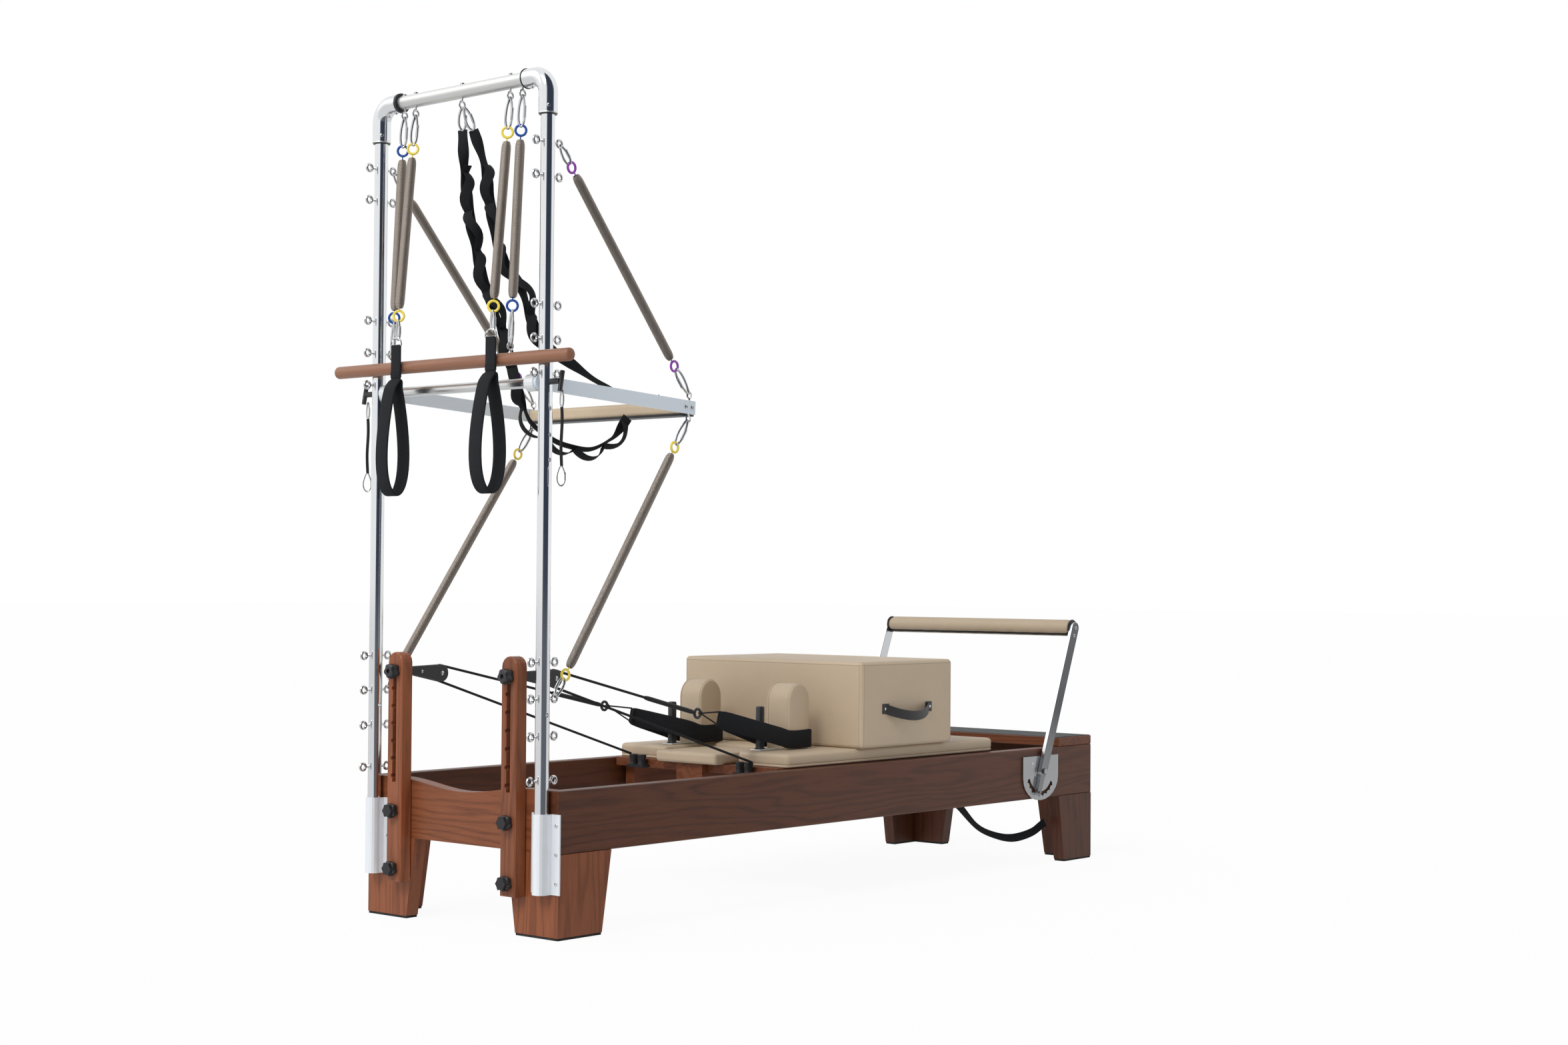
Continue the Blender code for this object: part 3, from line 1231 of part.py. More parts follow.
def make_hanging_loop(name, y, end):
    """A clip and D ring, the doubled band in front of the roll-down bar, and the padded loop."""
    ring_z = LOOP_TOP + 0.010
    gap = end.z - ring_z
    clip = hoop((LOOP_X, y, end.z - 0.001 - gap / 2), (1, 0, 0), 0.005, WIRE, around=8, section=3,
                stretch=(0, 0, gap - 0.012))
    bow = hoop((LOOP_X, y, ring_z - 0.004), (1, 0, 0), 0.014, 0.0022, around=10, section=3)
    band = block((LOOP_X - LOOP_THICK / 2, y - 0.0185, LOOP_SPLIT - 0.004),
                 (LOOP_X + LOOP_THICK / 2, y + 0.0185, LOOP_TOP))
    height = LOOP_SPLIT - LOOP_BOTTOM
    points = []
    steps = 20
    for i in range(steps):
        t = 2 * math.pi * i / steps
        share = (1 + math.cos(t)) / 2
        spread = LOOP_SPREAD / 2 * math.sin(t) * (0.72 + 0.42 * (1 - share))
        x = LOOP_X - 0.008 + spread
        points.append((x, y, LOOP_BOTTOM + LOOP_THICK / 2 + (height - LOOP_THICK) * share))
    points[0] = (LOOP_X, y, LOOP_SPLIT)
    loop = band_loop(points, (0, 1, 0), LOOP_WIDTH, LOOP_THICK)
    part(f"hand_loop_{name}", "webbing", [band, bow, clip, loop], pivot=(LOOP_X, y, end.z))


def make_slings():
    """Two long webbing slings from the crossbar's middle eye to the push bar's end bar."""
    start = Vector((TUBE_X, 0, CROSS_EYE_Z))
    clip = link(start, Vector((0, 0, -1)), HOOK_IN, 0.050)
    knot_z = CROSS_EYE_Z - 0.062
    knot = block((TUBE_X - 0.010, -0.022, knot_z - 0.006), (TUBE_X + 0.010, 0.022, knot_z + 0.016), 0.003)
    grip_low = arm_point(GRIP_X[0], 0)
    right = [(TUBE_X, -0.008, knot_z), (0.030, -0.060, 1.90), (0.110, -0.150, 1.70), (0.230, -0.220, 1.52),
             (0.380, -0.250, 1.415), (grip_low.x + 0.020, -0.245, grip_low.z + GRIP_HEIGHT / 2 + 0.008)]
    left = [(TUBE_X, 0.008, knot_z), (0.020, -0.010, 1.90), (0.040, -0.030, 1.70), (0.070, -0.050, 1.50),
            (0.110, -0.070, 1.33), (0.190, -0.080, 1.24), (0.300, -0.085, 1.215), (0.410, -0.090, 1.25),
            (grip_low.x - 0.012, -0.095, grip_low.z - GRIP_HEIGHT / 2 - 0.008)]
    pieces = [knot, clip]
    for route in (right, left):
        fine = smooth_route(route, 2)
        across = [(0.25, 1.0, 0.0)] * len(fine)
        pieces.append(strap(fine, across, 0.030, 0.004))
    part("loop_slings", "webbing", pieces)


def smooth_route(points, between):
    """Points of a smooth curve through the given ones (Catmull-Rom), with some added between."""
    pts = [Vector(p) for p in points]
    pts = [2 * pts[0] - pts[1], *pts, 2 * pts[-1] - pts[-2]]
    fine = []
    for i in range(1, len(pts) - 2):
        a, b, c, d = pts[i - 1:i + 3]
        for k in range(between):
            t = k / between
            fine.append(0.5 * (2 * b + (c - a) * t + (2 * a - 5 * b + 4 * c - d) * t * t
                               + (3 * b - a - 3 * c + d) * t ** 3))
    fine.append(pts[-2])
    return fine


def make_foot_strap():
    """The webbing strap slung under the foot end, inside the near rail."""
    y = -INNER + STRAP_THICK / 2 + CLEAR
    high = RAIL_BOTTOM + 0.016
    route = [(1.700, y, high), (1.730, y, high - 0.010), (1.80, y + 0.016, 0.152), (1.90, y + 0.026, 0.113),
             (2.00, y + 0.028, 0.104), (2.08, y + 0.024, 0.124), (2.145, y + 0.014, 0.160),
             (2.200, y, high)]
    fine = smooth_route(route, 3)
    across = []
    for i in range(len(fine)):
        along = (fine[min(i + 1, len(fine) - 1)] - fine[max(i - 1, 0)]).normalized()
        turn = math.sin(math.pi * i / (len(fine) - 1)) ** 2
        lie = Vector((0.35 * (1 - turn), turn, 1.0 - 0.75 * turn))
        lie = (lie - along * lie.dot(along)).normalized()
        across.append(lie)
    for p, lie in zip(fine, across):
        p.y += abs(lie.y) * 0.014 + 0.0012
    band = strap(fine, across, 0.026, STRAP_THICK)
    part("foot_strap", "webbing", [band])


def move_to_origin():
    """Shift the finished object so that its origin is on the floor under its middle."""
    for made in PARTS.objects:
        made.location.x -= ORIGIN_X


clear_scene()
PARTS = collection("pilates_reformer_with_tower")
CUTTERS = collection("cutters")
make_bed()
make_tower()
make_posts()
for label, hand in SIDES.items():
    make_rope(label, hand)
    make_pull_pin(label, hand)
make_carriage()
make_bed_springs()
make_sitting_box()
make_footbar()
make_push_bar()
make_push_springs()
make_hanging_set()
make_slings()
make_foot_strap()
move_to_origin()
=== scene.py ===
"""Looks of a pilates reformer with a spring tower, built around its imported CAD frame.

Places are in metres in the CAD's own frame: x from the tower's end to the footbar's, y from the near side to
the far side, z up. Sizes that the CAD also has are repeated here with the same values.
"""
import math

import bmesh
import bpy
import numpy as np
from mathutils import Matrix, Vector


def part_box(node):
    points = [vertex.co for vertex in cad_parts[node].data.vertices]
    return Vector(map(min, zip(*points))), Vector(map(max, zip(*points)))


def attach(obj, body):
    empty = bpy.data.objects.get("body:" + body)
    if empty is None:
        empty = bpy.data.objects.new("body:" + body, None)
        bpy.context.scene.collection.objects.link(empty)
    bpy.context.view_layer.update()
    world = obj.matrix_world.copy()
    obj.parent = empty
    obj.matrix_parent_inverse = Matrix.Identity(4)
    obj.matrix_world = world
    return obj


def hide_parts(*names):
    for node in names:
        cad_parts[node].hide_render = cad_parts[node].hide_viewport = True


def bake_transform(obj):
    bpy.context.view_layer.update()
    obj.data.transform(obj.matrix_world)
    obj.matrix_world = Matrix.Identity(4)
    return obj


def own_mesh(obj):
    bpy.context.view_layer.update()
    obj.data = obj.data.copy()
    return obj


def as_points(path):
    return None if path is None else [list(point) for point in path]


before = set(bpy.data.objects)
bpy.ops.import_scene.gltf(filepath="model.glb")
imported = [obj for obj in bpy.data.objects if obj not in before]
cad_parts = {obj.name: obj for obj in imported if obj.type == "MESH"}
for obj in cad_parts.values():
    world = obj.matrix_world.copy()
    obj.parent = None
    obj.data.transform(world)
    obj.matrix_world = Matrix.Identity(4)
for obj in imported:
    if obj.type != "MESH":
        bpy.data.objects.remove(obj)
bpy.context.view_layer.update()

bl_info = {
    "name": "Pilates reformer with tower",
    "version": (1, 0, 0),
    "blender": (4, 5, 0),
    "location": "View3D > Sidebar > Reformer",
    "description": "Dresses the reformer's frame with its timber, steel, springs and soft goods",
    "category": "Object",
}

HEAD_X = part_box("head_board")[0].x     # the bed's head end
SIDES = {"near": -1, "far": 1}

# Sizes shared with the frame
TUBE_R = 0.018
TUBE_X = HEAD_X - 0.0186
TUBE_Y = 0.320
TUBE_FOOT = 0.115
CROSSBAR_Z = 2.153
ELBOW_BEND = 0.070
ELBOW_MOUTH = 2.055
EYE_LEVELS = (1.985, 1.900, 1.578, 1.492, 1.406, 0.688, 0.597, 0.504, 0.394)
EYE_REACH = 0.040
EYE_RADIUS = 0.009
CROSS_EYE_Z = 2.118
OUTER_SPRING_Y = 0.227
INNER_SPRING_Y = 0.182
HOLE_LEVELS = (1.3845, 1.318, 1.252, 1.190, 0.557)
AXLE_Z = 1.3845
ARM_Y = 0.2977
ARM_SLOPE = math.atan2(0.030, 0.572)
ARM_HALF = 0.018
EYE_OUT = 0.003
ARM_EYE = 0.546
COIL_R = 0.0125
RING_R = 0.0135
RING_WIRE = 0.0033
CLIP_WIRE = 0.0035
HANG_TOP = 2.000
HANG_BOTTOM = 1.598
ROLL_R = 0.0165
ROLL_Z = 1.444
ROLL_HALF = 0.450
ROLL_X = TUBE_X - TUBE_R - ROLL_R - 0.0006
LOOP_X = ROLL_X - ROLL_R - 0.0066
LOOP_TOP = 1.500
LOOP_SPLIT = 1.412
LOOP_BOTTOM = 1.107
LOOP_SPREAD = 0.084
POST_Y = 0.2185
PULLEY = (HEAD_X + 0.115, 0.641)
ROPE_WRAP = 0.0207
ROPE_R = 0.0035
RING_X = {-1: HEAD_X + 0.660, 1: HEAD_X + 0.740}
STRAP_X = {-1: HEAD_X + 0.745, 1: HEAD_X + 0.850}    # where each hand strap reaches its full width
RING_Z = 0.530
RING_LINK = 0.012
CLEAT_X = HEAD_X + 0.868
DECK = 0.372
PAD_TOP = 0.4103
REST_X = (HEAD_X + 1.052, HEAD_X + 1.143)
REST_Y = (0.1275, 0.2150)
REST_TOP = 0.598
PEG_X = HEAD_X + 0.975
PEG_TOP = 0.536
FOOT_PIVOT = (HEAD_X + 2.103, 0.298)
FOOT_LEAN = math.radians(21.5)
SLIT_ANGLE = math.radians(232)         # where the footbar's cover is open, from +x toward +z
DARK_SIDE = ((-2.62, 0.12), (-1.10, 0.18))     # bearings and softness of the studio's dark side, in radians
WEAVE_SHINE = {"Specular IOR Level": 0.22}     # webbing and rope shine less than plastic
FULL_TURN = 6.2832                     # radians in one wave of a weave, rounded
SMUDGE = 0.06                          # how much fingerprints and polishing change a metal's roughness
PLATE_FACE = 0.3625 + 0.0003 + 0.005   # outer face of the footbar's plates
HOOK_LAP = 0.006                       # how far a hook reaches past the middle of a ring's wire
SCREW = "screw_steel"
FOCAL_LENGTH = 3470.0 / 2352.0         # of the camera, in widths of its picture
SHARP = math.radians(38.0)


def tint(name, description, default):
    """A colour that the panel shows."""
    return bpy.props.FloatVectorProperty(name=name, description=description, subtype="COLOR", size=3, min=0, max=1,
                                         default=default)


def distance(name, description, low, high, default):
    """A length that the panel shows."""
    return bpy.props.FloatProperty(name=name, description=description, subtype="DISTANCE", unit="LENGTH", min=low,
                                   max=high, default=default)


class ReformerLooks(bpy.types.PropertyGroup):
    """Colours and small sizes that a user would change."""

    oak_light: tint("Oak, light grain", "Stained oak between its dark lines", (0.285, 0.088, 0.034))
    oak_dark: tint("Oak, dark grain", "The dark lines and pores of the stained oak", (0.120, 0.034, 0.012))
    # The rail shade is painted shade: it darkens the side rails' copy of the one oak, not a darker stain
    rail_painted_shade: bpy.props.FloatProperty(
        name="Rail shade", description="How much darker the side rails are stained than the ends",
        subtype="FACTOR", min=0, max=1, default=0.60)
    leather: tint("Leatherette", "Beige cover of the pads and the box", (0.560, 0.440, 0.305))
    webbing: tint("Webbing", "Black straps and loops", (0.011, 0.012, 0.014))
    blue: tint("Blue rings", "Rings of the outer hanging springs", (0.006, 0.070, 0.340))
    yellow: tint("Yellow rings", "Rings of the inner hanging springs and the lower push springs",
                 (0.980, 0.700, 0.080))
    purple: tint("Purple rings", "Rings of the upper push springs", (0.330, 0.060, 0.480))
    coil_wire: distance("Coil wire", "Diameter of the wire that the springs are wound from", 0.001, 0.004, 0.0022)
    pad_crown: distance("Pad crown", "How far the middle of a stuffed face stands proud of its edge", 0, 0.010, 0.004)
    floor: tint("Floor", "Colour of the studio floor", (0.90, 0.90, 0.90))


def looks():
    return bpy.context.scene.reformer_looks


# Materials

class Wire:
    """A number on a shader socket. Arithmetic on wires and plain numbers adds Math nodes."""

    def __init__(self, finish, socket):
        self.finish = finish
        self.socket = socket

    def math(self, operation, *values):
        return self.finish.node("ShaderNodeMath", {"operation": operation}, dict(enumerate(values)))["Value"]

    def __add__(self, other):
        return self.math("ADD", self, other)

    __radd__ = __add__

    def __sub__(self, other):
        return self.math("SUBTRACT", self, other)

    def __rsub__(self, other):
        return self.math("SUBTRACT", other, self)

    def __mul__(self, other):
        return self.math("MULTIPLY", self, other)

    __rmul__ = __mul__

    def __pow__(self, other):
        return self.math("POWER", self, other)

    def __abs__(self):
        return self.math("ABSOLUTE", self)

    def sine(self):
        return self.math("SINE", self)

    def least(self, other):
        return self.math("MINIMUM", self, other)

    def most(self, other):
        return self.math("MAXIMUM", self, other)

    def above(self, edge, soft=0.0004):
        """0 below the edge and 1 above it, with a smooth step as wide as soft each way."""
        return self.finish.node("ShaderNodeMapRange", {"interpolation_type": "SMOOTHSTEP"},
                                {"Value": self, "From Min": edge - soft, "From Max": edge + soft})["Result"]


class Tree:
    """A node tree and the one way in which nodes are added to it."""

    def __init__(self, tree):
        self.tree = tree
        tree.nodes.clear()

    def node(self, kind, settings=None, sockets=None):
        """Adds a node: settings first, then the values or wires of its sockets. Returns its outputs by name."""
        made = self.tree.nodes.new(kind)
        for key, value in (settings or {}).items():
            if key == "stops":
                ramp = made.color_ramp
                while len(ramp.elements) < len(value):
                    ramp.elements.new(0.5)
                for element, (place, colour) in zip(ramp.elements, value):
                    element.position = place
                    element.color = (*colour, 1.0)
            else:
                setattr(made, key, value)
        for key, value in (sockets or {}).items():
            if isinstance(key, int):
                socket = made.inputs[key]
            else:
                socket = next(s for s in made.inputs if s.name == key and s.enabled)
            if isinstance(value, Wire):
                self.tree.links.new(value.socket, socket)
            elif socket.type == "RGBA":
                socket.default_value = (*value[:3], 1.0)
            else:
                socket.default_value = value
        return {s.name: Wire(self, s) for s in made.outputs if s.enabled}

    def mix(self, share, first, second):
        """A colour between two colours."""
        return self.node("ShaderNodeMix", {"data_type": "RGBA"},
                         {"Factor": share, "A": first, "B": second})["Result"]


class Finish(Tree):
    """A surface material round one Principled shader, with its patterns on Object coordinates."""

    def __init__(self, name, roughness=0.5, metallic=0.0, **fixed):
        self.material = bpy.data.materials.new(name)
        self.material.use_nodes = True
        super().__init__(self.material.node_tree)
        out = self.tree.nodes.new("ShaderNodeOutputMaterial")
        self.shader = self.tree.nodes.new("ShaderNodeBsdfPrincipled")
        self.tree.links.new(self.shader.outputs[0], out.inputs[0])
        self.place = self.node("ShaderNodeTexCoord")["Object"]
        self.put("Roughness", roughness)
        self.put("Metallic", metallic)
        for key, value in fixed.items():
            self.put(key, value)

    def put(self, socket, value):
        where = self.shader.inputs[socket]
        if isinstance(value, Wire):
            self.tree.links.new(value.socket, where)
        else:
            where.default_value = (*value, 1.0) if where.type == "RGBA" else value
        return self

    def axes(self, source=None):
        """The x, y and z of a place as three wires."""
        found = self.node("ShaderNodeSeparateXYZ", None, {"Vector": source or self.place})
        return found["X"], found["Y"], found["Z"]

    def weave_uv(self):
        """u and v in metres, from the piece's own map."""
        source = self.node("ShaderNodeUVMap", {"uv_map": "weave"})["UV"]
        return self.axes(source)[:2]

    def stretched(self, along, share):
        """The place with one axis scaled down, so that a pattern on it is drawn out along that axis."""
        scale = [1.0, 1.0, 1.0]
        scale[along] = share
        return self.node("ShaderNodeMapping", None, {"Vector": self.place, "Scale": scale})["Vector"]

    def noise(self, scale, detail=2.0, rough=0.5, bend=0.0, source=None):
        return self.node("ShaderNodeTexNoise", None,
                         {"Vector": source or self.place, "Scale": scale, "Detail": detail,
                          "Roughness": rough, "Distortion": bend})["Fac"]

    def bump(self, height, strength=0.3, depth=0.001):
        self.put("Normal", self.node("ShaderNodeBump", None,
                                     {"Strength": strength, "Distance": depth, "Height": height})["Normal"])
        return self


def tinted(colour, factor):
    return tuple(min(1.0, c * factor) for c in colour)


def oak(name, along, shade=1.0, extra=None):
    """Stained oak. Rings are a sine of the distance across the boards, bent by slow noise that is stretched
    along the grain; pores are fast noise stretched much further. extra(finish, colour, roughness) may add
    other materials of the same node."""
    # shade scales both colours of the oak: below 1 it is painted shade, above 1 painted light
    f = Finish(name)
    drift = f.noise(5.5, 3.0, 0.55, source=f.stretched(along, 0.10))
    x, y, z = f.axes()
    across = {0: y * 0.35 + z, 1: x * 0.4 + z, 2: x * 0.45 + y}[along]
    rings = (across * 210.0 + drift * 84.0).sine() * 0.5 + 0.5
    pores = f.noise(420.0, 2.0, 0.6, source=f.stretched(along, 0.035))
    streak = f.noise(70.0, 3.0, 0.6, source=f.stretched(along, 0.035))
    cloud = f.noise(2.6, 2.0)
    grain = (rings ** 2.4) * 0.34 + streak * 0.46 + pores.above(0.58, 0.10) * 0.22 + (cloud - 0.5) * 0.35
    light = tinted(looks().oak_light, shade)
    dark = tinted(looks().oak_dark, shade)
    middle = tuple(0.5 * (a + b) for a, b in zip(light, dark))
    colour = f.node("ShaderNodeValToRGB", {"stops": [(0.22, light), (0.58, middle), (0.95, dark)]},
                    {"Fac": grain})["Color"]
    roughness = 0.36 + pores * 0.16
    metallic = None
    if extra:
        colour, roughness, metallic = extra(f, colour, roughness)
    f.put("Base Color", colour)
    f.put("Roughness", roughness)
    if metallic is not None:
        f.put("Metallic", metallic)
    f.put("Specular IOR Level", 0.34)
    f.bump(grain, 0.22, 0.0006)
    return f.material


def patch(where, colour, rougher=0.0, metallic=None):
    """Another material on a part of a timber node, for oak's extra. where(x, y, z) gives a wire that is 1 on it;
    colour may be a function of the finish."""
    def laid(f, under, roughness):
        mask = where(*f.axes())
        if rougher:
            roughness = roughness + mask * rougher
        return f.mix(mask, under, colour(f) if callable(colour) else colour), roughness, metallic and mask * metallic
    return laid


def leatherette(name, colour, seam=None, black=None, crease=1.1):
    """Grained cover: cells about 2 mm across, soft creases, and cloudy colour. seam(finish) gives a wire that is
    1 on a sewn line, and black(finish) one that is 1 where the cover is open."""
    f = Finish(name)
    cells = f.node("ShaderNodeTexVoronoi", {"feature": "DISTANCE_TO_EDGE"},
                   {"Vector": f.place, "Scale": 480.0})["Distance"]
    creases = f.noise(26.0, 4.0, 0.6, 0.8)
    cloud = f.noise(4.0, 3.0)
    tone = cloud * 0.6 + creases * 0.25 + cells * 0.6
    shade = f.mix(tone, tinted(colour, 0.86), tinted(colour, 1.12))
    height = cells.above(0.10, 0.10) * 0.35 + creases * crease
    if seam:
        line = seam(f)
        shade = f.mix(line * 0.55, shade, tinted(colour, 0.45))
        height = height - line * 2.5
    if black:
        # Painted shade: where the cover is open it is painted near-black, the shade inside the opening
        shade = f.mix(black(f), shade, (0.008, 0.008, 0.008))
    f.put("Base Color", shade)
    f.put("Roughness", 0.44 + cloud * 0.16)
    f.shader.inputs["Sheen Weight"].default_value = 0.08
    f.bump(height, 0.30, 0.0012)
    return f.material


def woven(name, colour, rib=0.0022):
    """Webbing: a herringbone from two sines of the strap's own u and v, with the raised threads painted paler on top
    as a painted highlight.
    """
    f = Finish(name, **WEAVE_SHINE)
    u, v = f.weave_uv()
    slant = (u * (FULL_TURN / rib) + abs((v * (FULL_TURN / (rib * 4))).sine()) * 3.0).sine()
    cross = (v * (FULL_TURN / (rib * 0.8))).sine()
    thread_rise_and_highlight = slant * 0.5 + cross * 0.3 + 0.4
    fuzz = f.noise(900.0, 2.0)
    tone = thread_rise_and_highlight * 0.55 + fuzz * 0.5
    # Painted highlight: the raised threads are painted up to 1.7 times the webbing's colour; fuzz adds random tone
    f.put("Base Color", f.mix(tone, tinted(colour, 0.55), tinted(colour, 1.7)))
    f.put("Roughness", 0.72 + fuzz * 0.2)
    f.bump(thread_rise_and_highlight, 0.5, 0.0005)
    return f.material


def braided(name, colour):
    """Rope: two crossing families of strands wound round it."""
    f = Finish(name, **WEAVE_SHINE)
    u, v = f.weave_uv()
    one = (u * 900.0 + v * 1142.0).sine()
    two = (u * 900.0 - v * 1142.0).sine()
    strand = one.most(two) * 0.5 + 0.5
    fuzz = f.noise(1200.0, 2.0)
    # Painted highlight: the strands' crests are painted up to 1.9 times the rope's colour; fuzz adds random tone
    f.put("Base Color", f.mix(strand * 0.7 + fuzz * 0.3, tinted(colour, 0.5), tinted(colour, 1.9)))
    f.put("Roughness", 0.7 + fuzz * 0.2)
    f.bump(strand, 0.6, 0.0006)
    return f.material


def metal(name, colour, roughness, brush=None, bare=1.0):
    """Metal; bare is its Metallic value. brush is the axis that fine polishing lines follow, or None where it is
    buffed bright."""
    f = Finish(name, metallic=bare)
    cloud = f.noise(9.0, 4.0, 0.6)
    line = f.noise(160.0, 2.0)
    if brush is not None:
        line = f.noise(900.0, 2.0, source=f.stretched(brush, 0.02))
    f.put("Base Color", f.mix(cloud * 0.6 + line * 0.4, tinted(colour, 0.90), tinted(colour, 1.05)))
    f.put("Roughness", roughness + (cloud - 0.5) * SMUDGE + (line - 0.5) * SMUDGE)
    f.bump(line + cloud * 0.3, 0.04 if brush is None else 0.12, 0.0003)
    return f.material


def plastic(name, colour, roughness=0.4, texture=0.25):
    """Moulded plastic with a fine spark-eroded texture and slight mottling."""
    f = Finish(name)
    fine = f.noise(1300.0, 2.0)
    cloud = f.noise(14.0, 3.0)
    f.put("Base Color", f.mix(cloud * 0.5 + fine * 0.5, tinted(colour, 0.85), tinted(colour, 1.2)))
    f.put("Roughness", roughness + (cloud - 0.5) * 0.12)
    f.bump(fine, texture, 0.0003)
    return f.material


FINISHES = {}


def finish(name):
    """A shared finish, made on first use."""
    if name not in FINISHES:
        own = looks()
        makers = {
            "steel_bright": (metal, (0.86, 0.87, 0.88), 0.10),
            "steel_satin": (metal, (0.78, 0.78, 0.76), 0.42, 1),
            "steel_plate": (metal, (0.42, 0.425, 0.43), 0.24, 2),
            "screw_steel": (metal, (0.68, 0.68, 0.68), 0.20),
            "aluminium": (metal, (0.86, 0.89, 0.92), 0.40, 2, 0.35),
            "coil_steel": (metal, (0.50, 0.445, 0.395), 0.62),
            "brass": (metal, (0.72, 0.50, 0.18), 0.25),
            "leather": (leatherette, own.leather),
            "grip_leather": (leatherette, tinted(own.leather, 1.18)),
            "black_leather": (leatherette, (0.026, 0.025, 0.025)),
            "webbing": (woven, own.webbing),
            "padding": (woven, tinted(own.webbing, 1.15), 0.0035),
            "rope": (braided, (0.016, 0.016, 0.017)),
            "black_plastic": (plastic, (0.022, 0.022, 0.024)),
            "rubber": (plastic, (0.016, 0.016, 0.016), 0.7, 0.5),
            "blue": (plastic, own.blue, 0.28, 0.08),
            "yellow": (plastic, own.yellow, 0.28, 0.08),
            "purple": (plastic, own.purple, 0.28, 0.08),
            "oak_y": (oak, 1),
        }
        maker, *settings = makers[name]
        FINISHES[name] = maker(name, *settings)
    return FINISHES[name]


def dress(node, look):
    """Gives a CAD node its material."""
    material = finish(look) if isinstance(look, str) else look
    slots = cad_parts[node].data.materials
    slots.clear()
    slots.append(material)


# Shapes: every one is a grid of points (rows, columns, 3) with its own map (rows, columns, 2)

def vec(values):
    return np.asarray(values, float)


def stack(*parts):
    """Arrays side by side along a new last axis."""
    return np.stack(parts, -1)


def unit(v):
    """Vectors along the last axis, each divided by its length."""
    v = vec(v)
    return v / np.maximum(np.linalg.norm(v, axis=-1, keepdims=True), 1e-12)


def square_to(tangent, wide):
    """The part of wide that is square to the tangent, as unit vectors."""
    return unit(wide - tangent * np.sum(wide * tangent, -1, keepdims=True))


def around_line(way):
    """Two unit vectors square to a line and to each other."""
    e = unit(np.cross(way, (0.31, 0.17, 0.93) if abs(way[2]) < 0.9 else (1.0, 0.0, 0.0)))
    return e, np.cross(way, e)


def paired(u, v):
    """A map from two arrays, spread over each other."""
    return np.stack(np.broadcast_arrays(u, v), -1)


def running(points):
    """Distance along a line of points."""
    return np.concatenate([[0.0], np.cumsum(np.linalg.norm(np.diff(points, axis=0), axis=1))])


def round_section(radius, sides=12):
    """A circle: (r cos t, r sin t)."""
    t = np.linspace(0, 2 * np.pi, sides + 1)
    return radius * stack(np.cos(t), np.sin(t))


def flat_section(width, thick):
    """A strap's section: two straight sides joined by half circles of radius thick / 2."""
    r = thick / 2
    t = np.linspace(-np.pi / 2, np.pi / 2, 5)
    right = stack(width / 2 - r + r * np.cos(t), r * np.sin(t))
    half = np.concatenate([[[0.0, -r]], right, [[0.0, r]]])
    return np.concatenate([half, -half[1:]])


def sweep(path, wide, section, closed=False, grow=None):
    """A section carried along a path: path + a * side + b * up, with side the part of wide that is square to
    the path and up = tangent x side. grow scales the section along the path; ends close to a point."""
    path = vec(path)
    if closed:
        path = np.concatenate([path, path[:1]])
        tangent = unit(np.roll(path[:-1], -1, 0) - np.roll(path[:-1], 1, 0))
        tangent = np.concatenate([tangent, tangent[:1]])
    else:
        tangent = unit(np.gradient(path, axis=0))
    wide = np.broadcast_to(vec(wide), path.shape)
    side = square_to(tangent, wide)
    up = np.cross(tangent, side)
    grow = np.ones((len(path), 2)) if grow is None else vec(grow)
    if grow.ndim == 1:
        grow = stack(grow, grow)
    a = section[None, :, 0] * grow[:, 0:1]
    b = section[None, :, 1] * grow[:, 1:2]
    points = path[:, None] + a[..., None] * side[:, None] + b[..., None] * up[:, None]
    uv = paired(running(path)[:, None], running(section)[None])
    if not closed:
        ends = [np.broadcast_to(path[i], (1, len(section), 3)) for i in (0, -1)]
        points = np.concatenate([ends[0], points, ends[1]])
        uv = np.concatenate([uv[:1], uv, uv[-1:]])
    return points, uv


def turn_about(profile, start, way, sides=32):
    """A profile of (radius, distance) turned about a line: start + way * d + r (cos t * e + sin t * f)."""
    profile = vec(profile)
    way = unit(way)
    e, f = around_line(way)
    t = np.linspace(0, 2 * np.pi, sides + 1)
    out = np.cos(t)[:, None] * e + np.sin(t)[:, None] * f
    points = vec(start) + profile[:, 1][:, None, None] * way + profile[:, 0][:, None, None] * out
    return points, paired(profile[:, 1][:, None], t[None] * profile[:, 0].max())


def star_knob(profile, start):
    """A profile turned about -x whose radius swells with the angle, by 1 + 0.11 cos 5 t."""
    points, uv = turn_about(profile, start, (-1, 0, 0), 60)
    t = np.linspace(0, 2 * np.pi, 61)
    line = vec(start) + vec(profile)[:, 1][:, None] * unit((-1, 0, 0))
    return line[:, None] + (points - line[:, None]) * (1 + 0.11 * np.cos(5 * t))[None, :, None], uv


def hull_outline(one, other):
    """The outline round two circles (x, z, radius): their outer tangents and the arcs between."""
    (x0, z0, r0), (x1, z1, r1) = one, other
    bearing = math.atan2(z1 - z0, x1 - x0)
    lean = math.acos((r0 - r1) / math.hypot(x1 - x0, z1 - z0))
    points = []
    normals = []
    for x, z, r, first, sweep_angle in ((x0, z0, r0, bearing + lean, 2 * (math.pi - lean)),
                                        (x1, z1, r1, bearing - lean, 2 * lean)):
        t = first + np.linspace(0, sweep_angle, 18)
        points.append(stack(x + r * np.cos(t), z + r * np.sin(t)))
        normals.append(stack(np.cos(t), np.sin(t)))
    return np.concatenate(points), np.concatenate(normals)


def plate(outline, normal, low, high):
    """A flat plate across y with its edges broken by 0.8 mm. Returns its grid and its two lids."""
    edge = 0.0008
    return carried(outline, normal, [(edge, low), (0.0, low + edge), (0.0, high - edge), (edge, high)], flat_xz)


